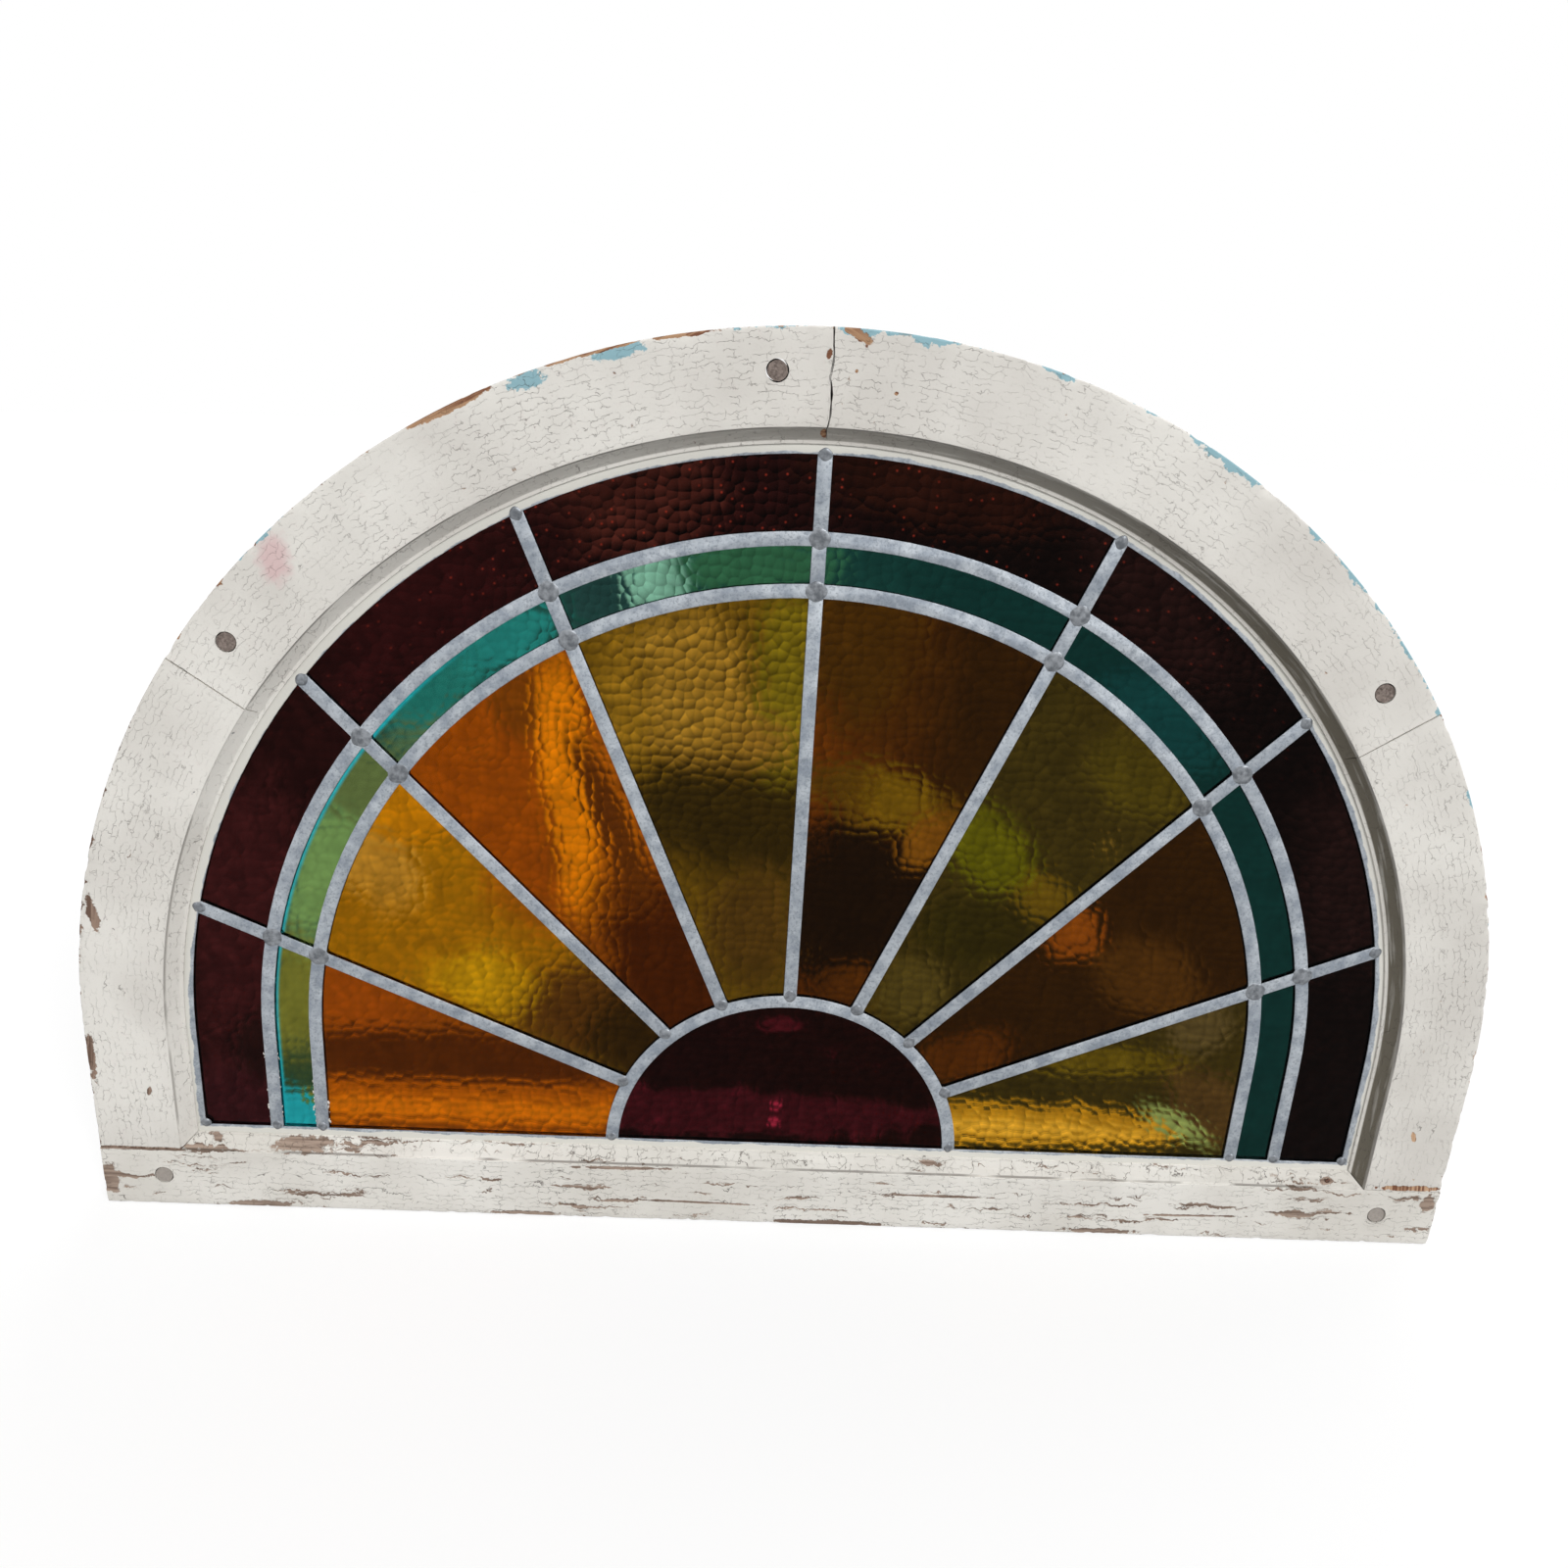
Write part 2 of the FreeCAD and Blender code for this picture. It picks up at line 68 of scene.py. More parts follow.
SUN_RADIUS = 128 * MM
INNER_RING = 345 * MM
OUTER_RING = 379 * MM
EDGE_CAME = 432 * MM
SILL_TOP = 65.5 * MM
HALF_CAME = 4.75 * MM
SPOKE_ANGLES = [math.radians(angle) for angle in (23.5, 46.3, 67.5, 90, 112.5, 133.7, 156.5)]
PEG_RADIUS = 6.5 * MM
PEG_RECESS = 0.5 * MM

# Steps of the meshes, and the room left at joints
MERGE = 0.01 * MM
SECTION_STEP = 5 * MM
SWEEP_STEP = 2.4 * MM
SEAT_GAP = 0.15 * MM
JOINT_GAP = 0.35 * MM
PEG_PLAY = 0.4 * MM
CUTTER_LENGTH = 100 * MM
CUTTER_SPARE = 20 * MM
RAIL_FIRST_CUTS = 18
RAIL_SECOND_CUTS = 20
RAIL_LONG_RUN = 20 * MM

# Wear of the wood: how deep it goes and how far it reaches
CHIP_DEPTH = 1.1 * MM
CHIP_REACH = 4 * MM
WAVE_DEPTH = 0.5 * MM
TORN_DEPTH = 4.0 * MM
TORN_REACH = 3 * MM
TORN_FRONT = 7 * MM
TORN_FLOOR = 200 * MM
SHUT_REACH = 1.5 * MM

# How far a flake or stain goes in behind the face that it lies on
SPOT_DEPTH = 22 * MM

# Hammered glass: size of its mesh, depth of its front, and the dimples pressed into that front
PANE_STEP = 2.1 * MM
PANE_FRONT = 0.6 * MM
ROLLER_STEP = 9.5 * MM
ROLLER_DEPTH = 0.5 * MM

# Dimples that the eye sees in it: size, the spread of each dimple's random tone as a share of
# its painted shade, and where the painted light and shade on the dimples is strongest, as x, z,
# half width, half height in mm and turn in degrees
DIMPLE = 6.9 * MM
FACET_SHARE = 0.7
STRONG_DIMPLE_SHADING = (-75, 470, 130, 190, 0)
DIMPLE_SHADING_GAIN = 1.3


# Helpers for selecting, shaping and finishing pieces


def only(piece):
    """Select one piece and make it the active one."""
    bpy.ops.object.select_all(action="DESELECT")
    piece.select_set(True)
    bpy.context.view_layer.objects.active = piece


def edit(piece):
    """Open a piece in edit mode with everything selected."""
    only(piece)
    bpy.ops.object.mode_set(mode="EDIT")
    bpy.ops.mesh.select_mode(type="VERT")
    bpy.ops.mesh.select_all(action="SELECT")


def close():
    """Leave edit mode."""
    bpy.ops.object.mode_set(mode="OBJECT")


def polygon(name, corners):
    """Flat filled outline through the given corners."""
    bpy.ops.object.select_all(action="DESELECT")
    bpy.ops.mesh.primitive_circle_add(vertices=len(corners), radius=PEG_RADIUS, fill_type="NGON")
    piece = bpy.context.object
    piece.name = name
    for vertex, corner in zip(piece.data.vertices, corners):
        vertex.co = corner
    return piece


def tidy_normals(piece):
    """Merge doubles and turn all faces outwards."""
    edit(piece)
    bpy.ops.mesh.remove_doubles(threshold=MERGE)
    bpy.ops.mesh.normals_make_consistent(inside=False)
    close()


def select_edges(piece, chosen):
    """Leave only the edges that pass the test selected, open for editing."""
    edit(piece)
    bpy.ops.mesh.select_all(action="DESELECT")
    bpy.ops.mesh.select_mode(type="EDGE")
    close()
    points = [vertex.co for vertex in piece.data.vertices]
    for edge in piece.data.edges:
        start, end = edge.vertices
        edge.select = chosen(points[start], points[end])
    bpy.ops.object.mode_set(mode="EDIT")


def apply_modifier(piece, kind, **settings):
    """Add a modifier with its settings and apply it."""
    only(piece)
    modifier = piece.modifiers.new(kind.lower(), kind)
    for name, value in settings.items():
        setattr(modifier, name, value)
    bpy.ops.object.modifier_apply(modifier=modifier.name)


def cut_away(piece, cutters):
    """Take cutter solids out of a piece and remove them."""
    bpy.ops.object.select_all(action="DESELECT")
    for cutter in cutters:
        tidy_normals(cutter)
    only(cutters[0])
    for cutter in cutters:
        cutter.select_set(True)
    if len(cutters) > 1:
        bpy.ops.object.join()
    apply_modifier(piece, "BOOLEAN", object=cutters[0], operation="DIFFERENCE", solver="EXACT")
    bpy.data.objects.remove(cutters[0])


def weights(piece, name, weight):
    """Vertex group whose weight comes from each point's place."""
    group = piece.vertex_groups.new(name=name)
    for vertex in piece.data.vertices:
        amount = weight(vertex.co)
        if amount > 0:
            group.add([vertex.index], amount, "REPLACE")
    return group.name


def noise_texture(name, kind, size, low=0.0, high=1.0, **settings):
    """Texture of a grain size in metres, drawn out so that low is 0 and high is 1."""
    texture = bpy.data.textures.new(name, kind)
    texture.noise_scale = size
    texture.use_color_ramp = True
    texture.color_ramp.elements[0].color = (0, 0, 0, 1)
    texture.color_ramp.elements[0].position = low
    texture.color_ramp.elements[1].position = high
    for key, value in settings.items():
        setattr(texture, key, value)
    return texture


def finish_piece(piece, material, slot, *nodes):
    """Give a piece its material, its place in the frame and the nodes that it stands for."""
    piece.data.materials.clear()
    piece.data.materials.append(material)
    only(piece)
    bpy.ops.object.shade_smooth_by_angle(angle=math.radians(35))
    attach(piece, "root")
    if nodes:
        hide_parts(*nodes)
    return piece


def copy_of(node, name):
    """Own copy of a CAD node's mesh, with its loose triangles merged."""
    piece = bpy.data.objects.new(name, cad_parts[node].data.copy())
    bpy.context.scene.collection.objects.link(piece)
    edit(piece)
    bpy.ops.mesh.remove_doubles(threshold=MERGE)
    bpy.ops.mesh.dissolve_limited(angle_limit=math.radians(0.5))
    close()
    return piece


# Materials


def linear(code):
    """Linear colour of an sRGB hex value."""
    channels = [int(code[start:start + 2], 16) / 255 for start in (1, 3, 5)]
    curved = [c / 12.92 if c <= 0.04045 else ((c + 0.055) / 1.055) ** 2.4 for c in channels]
    return (*curved, 1.0)


def start_material(name):
    """New material with an empty node tree."""
    material = bpy.data.materials.new(name)
    material.use_nodes = True
    material.node_tree.nodes.clear()
    return material, material.node_tree


def add(tree, kind, inputs=None, **settings):
    """Add a node with its settings; inputs are values, nodes or sockets."""
    made = tree.nodes.new("ShaderNode" + kind)
    for name, value in settings.items():
        setattr(made, name, value)
    for key, value in (inputs or {}).items():
        if isinstance(value, bpy.types.Node):
            value = value.outputs[0]
        if isinstance(value, bpy.types.NodeSocket):
            tree.links.new(value, made.inputs[key])
        else:
            made.inputs[key].default_value = value
    return made


def rim_distance(tree, place):
    """Distance in from the arched outer edge, on the curve and on the legs alike."""
    axes = add(tree, "SeparateXYZ", {0: place})
    height = add(tree, "Math", {0: axes.outputs["Z"], 1: ARCH_CENTRE}, operation="SUBTRACT")
    over = add(tree, "Math", {0: height, 1: 0.0}, operation="MAXIMUM")
    flat = add(tree, "CombineXYZ", {"X": axes.outputs["X"], "Z": over})
    reach = add(tree, "VectorMath", {0: flat}, operation="LENGTH").outputs["Value"]
    return add(tree, "Math", {0: OUTER_RADIUS, 1: reach}, operation="SUBTRACT")


def rim_run(tree, place):
    """Place unrolled along the rim: up the leg and round the arch as X, across it as Z."""
    axes = add(tree, "SeparateXYZ", {0: place})
    side = add(tree, "Math", {0: axes.outputs["X"]}, operation="SIGN")
    out = add(tree, "Math", {0: axes.outputs["X"]}, operation="ABSOLUTE")
    height = add(tree, "Math", {0: axes.outputs["Z"], 1: ARCH_CENTRE}, operation="SUBTRACT")
    over = add(tree, "Math", {0: height, 1: 0.0}, operation="MAXIMUM")
    leg = add(tree, "Math", {0: height, 1: 0.0}, operation="MINIMUM")
    angle = add(tree, "Math", {0: over, 1: out}, operation="ARCTAN2")
    run = add(tree, "Math", {0: angle, 1: OUTER_RADIUS - RIM_FACE / 2, 2: leg},
              operation="MULTIPLY_ADD")
    signed = add(tree, "Math", {0: run, 1: side}, operation="MULTIPLY")
    return add(tree, "CombineXYZ", {
        "X": signed, "Y": axes.outputs["Y"], "Z": rim_distance(tree, place)}).outputs[0]


def rail_run(tree, place):
    """The rail is straight, so the place itself."""
    return place


def rail_distance(tree, place):
    """Distance in from the rail's lower edge or its nearer end."""
    axes = add(tree, "SeparateXYZ", {0: place})
    side = add(tree, "Math", {0: axes.outputs["X"]}, operation="ABSOLUTE")
    end = add(tree, "Math", {0: OUTER_RADIUS, 1: side}, operation="SUBTRACT")
    return add(tree, "Math", {0: end, 1: axes.outputs["Z"]}, operation="MINIMUM")


def blend(tree, value, low, high, first, second):
    """Colour that goes from one hex tone to another as a value rises."""
    step = add(tree, "MapRange", {"Value": value, "From Min": low, "From Max": high})
    return add(tree, "MixRGB", {"Fac": step, "Color1": linear(first), "Color2": linear(second)})


def spot(tree, place, ragged, shape, rough, soft):
    """Mask of a ragged elliptical spot: middle and half sizes in millimetres, turn in degrees.

    The spot lies where Y of the place is 0 and fades behind it.
    """
    x, z, half_width, half_height, turn = shape
    unit = add(tree, "Mapping", {
        "Vector": place,
        "Location": (x * MM, 0, z * MM),
        "Rotation": (0, -math.radians(turn), 0),
        "Scale": (half_width * MM, SPOT_DEPTH, half_height * MM),
    }, vector_type="TEXTURE")
    round_mask = add(tree, "TexGradient", {0: unit}, gradient_type="SPHERICAL").outputs["Fac"]
    torn = add(tree, "Math", {0: ragged, 1: rough, 2: round_mask}, operation="MULTIPLY_ADD")
    middle = rough * 0.5 + 0.35
    return add(tree, "MapRange", {
        "Value": torn, "From Min": middle - soft / 2, "From Max": middle + soft / 2,
    }, interpolation_type="SMOOTHSTEP")


def hairlines(tree, place, spacing, line, dash, cover):
    """Wandering broken lines along X of a place: spacing, thickness and dash length in mm."""
    axes = add(tree, "SeparateXYZ", {0: place})
    slow = add(tree, "Mapping", {
        "Vector": place, "Scale": (0.6 / (dash * MM), 1 / (20 * MM), 0.5 / (spacing * MM))})
    drift = add(tree, "TexNoise", {"Vector": slow, "Scale": 1.0, "Detail": 2.0})
    moved = add(tree, "Math", {0: drift, 1: spacing * 2.5 * MM, 2: axes.outputs["Z"]},
                operation="MULTIPLY_ADD")
    away = add(tree, "Math", {0: moved, 1: spacing / 2 * MM}, operation="PINGPONG")
    hair = add(tree, "MapRange", {
        "Value": away, "From Min": line * 0.25 * MM, "From Max": line * 0.6 * MM,
        "To Min": 1.0, "To Max": 0.0})
    quick = add(tree, "Mapping", {
        "Vector": place, "Scale": (1 / (dash * MM), 1 / (20 * MM), 1.2 / (spacing * MM))})
    gaps = add(tree, "TexNoise", {"Vector": quick, "Scale": 1.0, "Detail": 2.0})
    shown = add(tree, "MapRange", {
        "Value": gaps, "From Min": 0.6 - cover, "From Max": 0.7 - cover})
    return add(tree, "Math", {0: hair, 1: shown}, operation="MULTIPLY")


def strongest(tree, *masks):
    """The largest of several masks at every point."""
    result = masks[0]
    for mask in masks[1:]:
        result = add(tree, "Math", {0: result, 1: mask}, operation="MAXIMUM")
    return result


def together(tree, *masks):
    """Several masks multiplied, so that it shows only where all of them do."""
    result = masks[0]
    for mask in masks[1:]:
        result = add(tree, "Math", {0: result, 1: mask}, operation="MULTIPLY")
    return result


def seen_directly(tree):
    """Mask of what the eye meets straight, in a reflection or through glass."""
    path = add(tree, "LightPath")
    kinds = ("Is Camera Ray", "Is Glossy Ray", "Is Transmission Ray")
    return strongest(tree, *[path.outputs[kind] for kind in kinds])


def surface(tree, shader, height, strength, depth):
    """End a material with its shader's inputs and a bump that is at most depth mm high."""
    bump = add(tree, "Bump", {"Height": height, "Strength": strength, "Distance": depth * MM})
    skin = add(tree, "BsdfPrincipled", dict(shader, Normal=bump))
    add(tree, "OutputMaterial", {"Surface": skin})


def crackled_paint(name, grain, distance, run, bare_spots, tones):
    """Old white lead paint on pine: chalky, cracked along the grain and chipped at the arrises.

    The eye reads it from short dark cracks along the grain, grey and cream clouds in the
    white, and a ragged edge where an older blue coat and the brown wood come through.
    """
    material, tree = start_material(name)
    place = add(tree, "TexCoord").outputs["Object"]
    fibre = add(tree, "Mapping", {"Vector": place, "Rotation": (0, grain, 0)})
    along = run(tree, place)
    wander = add(tree, "TexNoise", {
        "Vector": along, "Scale": 1 / (11 * MM), "Detail": 3.0, "Roughness": 0.65})
    bent = add(tree, "VectorMath", {
        0: wander.outputs["Color"], 1: (17 * MM, 9 * MM, 12 * MM), 2: along,
    }, operation="MULTIPLY_ADD")
    ragged = add(tree, "TexNoise", {
        "Vector": along, "Scale": 1 / (7 * MM), "Detail": 3.0, "Roughness": 0.65,
    }).outputs["Fac"]
    edge = distance(tree, place)
    axes = add(tree, "SeparateXYZ", {0: place})
    faced = add(tree, "VectorMath", {0: place, 1: (0, -FRONT, 0)}, operation="ADD").outputs[0]

    # Fine net of short cracks along and across the grain, with a few longer dark splits
    bent_axes = add(tree, "SeparateXYZ", {0: bent})
    laid = add(tree, "CombineXYZ", {"X": bent_axes.outputs["X"], "Y": bent_axes.outputs["Z"]})
    net = add(tree, "TexBrick", {
        "Vector": laid, "Scale": 1 / (15 * MM), "Mortar Size": 0.018, "Mortar Smooth": 0.8,
        "Brick Width": 0.9, "Row Height": 0.3}, offset=0.43, squash=0.7).outputs["Fac"]
    broken = add(tree, "TexNoise", {
        "Vector": along, "Scale": 1 / (8 * MM), "Detail": 2.0, "Roughness": 0.6})
    shown = add(tree, "MapRange", {
        "Value": broken, "From Min": 0.56 - tones["cover"], "From Max": 0.66 - tones["cover"]})
    net_cloud = add(tree, "TexNoise", {"Vector": along, "Scale": 1 / (60 * MM), "Detail": 3.0})
    area = add(tree, "MapRange", {
        "Value": net_cloud, "From Min": 0.36, "From Max": 0.6, "To Min": 0.25,
        "To Max": tones["net"]})
    net = together(tree, net, shown, area)
    splits = hairlines(tree, bent, 13, 0.5, 20, tones["split"])
    inside = add(tree, "MapRange", {
        "Value": edge, "From Min": tones["face"] - 0.3 * MM, "From Max": tones["face"] + 1.0 * MM})
    crosswise = add(tree, "Mapping", {"Vector": bent, "Rotation": (0, math.radians(90), 0)})
    checks = hairlines(tree, crosswise, 11, 0.45, 14, tones["checks"])
    checks = add(tree, "Math", {0: checks, 1: inside}, operation="MULTIPLY")
    quirk = add(tree, "Math", {0: edge, 1: tones["face"] + 0.2 * MM}, operation="SUBTRACT")
    quirk = add(tree, "Math", {0: quirk}, operation="ABSOLUTE")
    seam = add(tree, "MapRange", {
        "Value": quirk, "From Min": 0.25 * MM, "From Max": 0.7 * MM, "To Min": 1.0, "To Max": 0.0})
    seam_broken = add(tree, "MapRange", {
        "Value": net_cloud, "From Min": 0.4, "From Max": 0.5, "To Max": 0.85})
    seam = add(tree, "Math", {0: seam, 1: seam_broken}, operation="MULTIPLY")
    crack = strongest(tree, splits, net, checks, seam)

    # White coat with cream and grey clouds
    cloud = add(tree, "TexNoise", {"Vector": place, "Scale": 1 / (90 * MM), "Detail": 3.0})
    coat = blend(tree, cloud, 0.35, 0.65, tones["shade"], tones["light"])
    grime = add(tree, "TexNoise", {
        "Vector": along, "Scale": 1 / (2.2 * MM), "Detail": 3.0, "Roughness": 0.7,
    }).outputs["Fac"]
    speck = add(tree, "MapRange", {
        "Value": grime, "From Min": 0.6, "From Max": 0.8, "To Max": 0.3})
    coat = add(tree, "MixRGB", {"Fac": speck, "Color1": coat, "Color2": linear("#a59d90")})

    # Dirt and painted shade on the sloping reveal, most of all on the right and little on the lip,
    # with pale wiped streaks
    side = add(tree, "MapRange", {
        "Value": axes.outputs["X"], "From Min": -0.3, "From Max": 0.3,
        "To Min": tones["dirt_and_shade_left"], "To Max": tones["dirt_and_shade_right"]})
    streak_cells = add(tree, "Mapping", {
        "Vector": along, "Scale": (1 / (45 * MM), 1 / (3 * MM), 1 / (4 * MM))})
    streak = add(tree, "TexNoise", {"Vector": streak_cells, "Scale": 1.0, "Detail": 3.0})
    kept = add(tree, "MapRange", {
        "Value": streak, "From Min": 0.7, "From Max": 0.54, "To Min": 0.65})
    lip = add(tree, "MapRange", {
        "Value": edge, "From Min": tones["face"] + MOULDING - LIP - 0.4 * MM,
        "From Max": tones["face"] + MOULDING - LIP + 0.4 * MM, "To Min": 1.0, "To Max": 0.15})
    # Dirt and painted shade of the reveal
    dirt_and_shade = together(tree, inside, side, kept, lip)
    coat = add(tree, "MixRGB", {"Fac": dirt_and_shade, "Color1": coat, "Color2": linear("#5c5546")})
    for *shape, tint in tones["stains"]:
        stain = spot(tree, faced, ragged, shape, 0.8, 0.6)
        stain = add(tree, "Math", {0: stain, 1: 0.55}, operation="MULTIPLY")
        coat = add(tree, "MixRGB", {"Fac": stain, "Color1": coat, "Color2": linear(tint)})

    # Older blue coat that shows where the white has chipped off the arris
    chip = add(tree, "TexNoise", {
        "Vector": place, "Scale": 1 / (26 * MM), "Detail": 5.0, "Roughness": 0.68})
    blue_side = add(tree, "MapRange", {
        "Value": axes.outputs["X"], "From Min": -0.25, "From Max": 0.02,
        "To Min": tones["blue_left"] * MM, "To Max": tones["blue_right"] * MM})
    deep = add(tree, "MapRange", {
        "Value": axes.outputs["Y"], "From Min": FRONT + 1 * MM, "From Max": FRONT + 6 * MM,
        "To Max": tones["deep_blue"] * MM})
    blue_side = add(tree, "Math", {0: blue_side, 1: deep}, operation="ADD")
    blue_reach = add(tree, "Math", {0: chip, 1: 32 * MM, 2: blue_side}, operation="MULTIPLY_ADD")
    blue_over = add(tree, "Math", {0: blue_reach, 1: edge}, operation="SUBTRACT")
    blue = add(tree, "MapRange", {
        "Value": blue_over, "From Min": 15.6 * MM, "From Max": 16.2 * MM})
    blue_chips = [spot(tree, faced, ragged, shape, 1.4, 0.14) for shape in tones["blue_chips"]]
    blue = strongest(tree, blue, *blue_chips)
    coat = add(tree, "MixRGB", {"Fac": blue, "Color1": coat, "Color2": linear("#8fb6c0")})

    # Bare wood on the arrises, in flaked spots and in weathered strips along the grain
    wood_cells = add(tree, "Mapping", {
        "Vector": fibre, "Scale": (1 / (50 * MM), 1 / (2 * MM), 1 / (2 * MM))})
    wood_grain = add(tree, "TexNoise", {"Vector": wood_cells, "Scale": 1.0, "Detail": 2.0})
    wood = blend(tree, wood_grain, 0.42, 0.58, tones["dark_wood"], tones["wood"])
    worn = add(tree, "TexNoise", {
        "Vector": along, "Scale": 1 / (17 * MM), "Detail": 4.0, "Roughness": 0.7})
    depth = add(tree, "Math", {0: axes.outputs["Y"]}, operation="ABSOLUTE")
    bare_side = add(tree, "MapRange", {
        "Value": depth, "From Min": BACK - 1 * MM, "From Max": BACK - 7 * MM,
        "To Min": tones["bare"] * MM, "To Max": (tones["bare"] - 1.8) * MM})
    bare_reach = add(tree, "Math", {0: worn, 1: 22 * MM, 2: bare_side},
                     operation="MULTIPLY_ADD")
    bare_over = add(tree, "Math", {0: bare_reach, 1: edge}, operation="SUBTRACT")
    arris = add(tree, "MapRange", {
        "Value": bare_over, "From Min": 11.0 * MM, "From Max": 11.6 * MM})
    strip_cells = add(tree, "Mapping", {
        "Vector": bent, "Scale": (1 / (75 * MM), 1 / (15 * MM), 1 / (6 * MM))})
    strip_noise = add(tree, "TexNoise", {
        "Vector": strip_cells, "Scale": 1.0, "Detail": 3.0, "Roughness": 0.6})
    strips = add(tree, "MapRange", {
        "Value": strip_noise, "From Min": tones["strip"], "From Max": tones["strip"] + 0.03})
    flakes = [spot(tree, faced, ragged, shape, 1.4, 0.14) for shape in bare_spots]
    bare = strongest(tree, arris, strips, *flakes)
    colour = add(tree, "MixRGB", {"Fac": bare, "Color1": coat, "Color2": wood})
    dark = add(tree, "Math", {0: crack, 1: tones["crack"]}, operation="MULTIPLY")
    colour = add(tree, "MixRGB", {"Fac": dark, "Color1": colour, "Color2": linear("#463c33")})

    rough = add(tree, "MapRange", {"Value": bare, "To Min": 0.6, "To Max": 0.88})
    cut_down = add(tree, "Math", {0: crack, 1: -1.0, 2: 1.0}, operation="MULTIPLY_ADD")
    flaked = add(tree, "Math", {0: bare, 1: -0.8, 2: cut_down}, operation="MULTIPLY_ADD")
    brushed = add(tree, "Math", {0: grime, 1: 0.25, 2: flaked}, operation="MULTIPLY_ADD")
    surface(tree, {"Base Color": colour, "Roughness": rough, "IOR": 1.45}, brushed, 0.6, 0.8)
    return material


def weathered_peg_wood():
    """Oak pegs gone grey: short dark fibres and checks on the end grain, dull all over."""
    material, tree = start_material("weathered_oak_end_grain")
    place = add(tree, "TexCoord").outputs["Object"]
    fibres = add(tree, "TexNoise", {
        "Vector": place, "Scale": 1 / (1.6 * MM), "Detail": 5.0, "Roughness": 0.7})
    dark = blend(tree, fibres, 0.32, 0.68, "#4f443e", "#9a8c84")
    axes = add(tree, "SeparateXYZ", {0: place})
    low = add(tree, "MapRange", {
        "Value": axes.outputs["Z"], "From Min": 0.2, "From Max": 0.1, "To Max": 0.5})
    colour = add(tree, "MixRGB", {"Fac": low, "Color1": dark, "Color2": linear("#c2bcb4")})
    surface(tree, {"Base Color": colour, "Roughness": 0.9}, fibres, 0.6, 0.6)
    return material


# Where the paint ends on the lead: in from the outer edge, and up from the floor at the sill
PAINT_LINE = 68.4 * MM
SILL_SIGHT = 62 * MM


def oxidised_lead():
    """Milled lead came gone dull: pale grey with dark fine specks and smears of old paint."""
    material, tree = start_material("oxidised_lead")
    place = add(tree, "TexCoord").outputs["Object"]
    bloom = add(tree, "TexNoise", {
        "Vector": place, "Scale": 1 / (12 * MM), "Detail": 5.0, "Roughness": 0.65})
    fine = add(tree, "TexNoise", {
        "Vector": place, "Scale": 1 / (1.7 * MM), "Detail": 3.0, "Roughness": 0.7})
    grey = blend(tree, bloom, 0.36, 0.64, "#88909a", "#b4bac0")
    speck = add(tree, "MapRange", {
        "Value": fine, "From Min": 0.5, "From Max": 0.36, "To Max": 0.6})
    grey = add(tree, "MixRGB", {"Fac": speck, "Color1": grey, "Color2": linear("#6d747c")})
    edge = rim_distance(tree, place)
    axes = add(tree, "SeparateXYZ", {0: place})
    above = add(tree, "Math", {0: axes.outputs["Z"], 1: OUTER_RADIUS - SIGHT_RADIUS - SILL_SIGHT},
                operation="ADD")
    sight = add(tree, "Math", {0: edge, 1: above}, operation="MINIMUM")
    smear = add(tree, "TexNoise", {
        "Vector": place, "Scale": 1 / (16 * MM), "Detail": 4.0, "Roughness": 0.6})
    covered = add(tree, "MapRange", {
        "Value": axes.outputs["X"], "From Min": -0.25, "From Max": 0.15,
        "To Min": 4.0 * MM, "To Max": 1.5 * MM})
    high = add(tree, "MapRange", {
        "Value": axes.outputs["Z"], "From Min": 0.12, "From Max": 0.28})
    covered = add(tree, "Math", {0: covered, 1: high}, operation="MULTIPLY")
    sight = add(tree, "Math", {0: sight, 1: covered}, operation="SUBTRACT")
    reach = add(tree, "Math", {0: smear, 1: -6 * MM, 2: sight}, operation="MULTIPLY_ADD")
    painted = add(tree, "MapRange", {
        "Value": reach, "From Min": PAINT_LINE, "From Max": PAINT_LINE + 0.8 * MM, "To Min": 1.0,
        "To Max": 0.0})
    colour = add(tree, "MixRGB", {"Fac": painted, "Color1": grey, "Color2": linear("#dcdad2")})
    metal = add(tree, "MapRange", {"Value": painted, "To Min": 0.45, "To Max": 0.0})
    surface(tree, {"Base Color": colour, "Metallic": metal, "Roughness": 0.5}, fine, 0.35, 0.4)
    return material


def tarnished_solder():
    """Tin and lead solder: darker than the came, smooth and lumpy, with a faint soft shine."""
    material, tree = start_material("tarnished_solder")
    place = add(tree, "TexCoord").outputs["Object"]
    pits = add(tree, "TexNoise", {"Vector": place, "Scale": 1 / (3.5 * MM), "Detail": 3.0})
    grey = blend(tree, pits, 0.35, 0.68, "#5f6368", "#8f9398")
    surface(tree, {"Base Color": grey, "Metallic": 0.5, "Roughness": 0.4}, pits, 0.3, 0.5)
    return material


def painted_putty():
    """Linseed putty under old paint: chalky cream, knife marks along it and small cracks."""
    material, tree = start_material("painted_linseed_putty")
    place = add(tree, "TexCoord").outputs["Object"]
    cloud = add(tree, "TexNoise", {
        "Vector": place, "Scale": 1 / (30 * MM), "Detail": 4.0, "Roughness": 0.65})
    cream = blend(tree, cloud, 0.35, 0.65, "#bdb5a4", "#e2ddd0")
    cells = add(tree, "TexVoronoi", {"Vector": place, "Scale": 1 / (17 * MM)},
                feature="DISTANCE_TO_EDGE")
    crack = add(tree, "MapRange", {
        "Value": cells, "From Min": 0.01, "From Max": 0.04, "To Min": 0.6, "To Max": 0.0})
    colour = add(tree, "MixRGB", {"Fac": crack, "Color1": cream, "Color2": linear("#5a5247")})
    surface(tree, {"Base Color": colour, "Roughness": 0.75}, cloud, 0.5, 0.8)
    return material


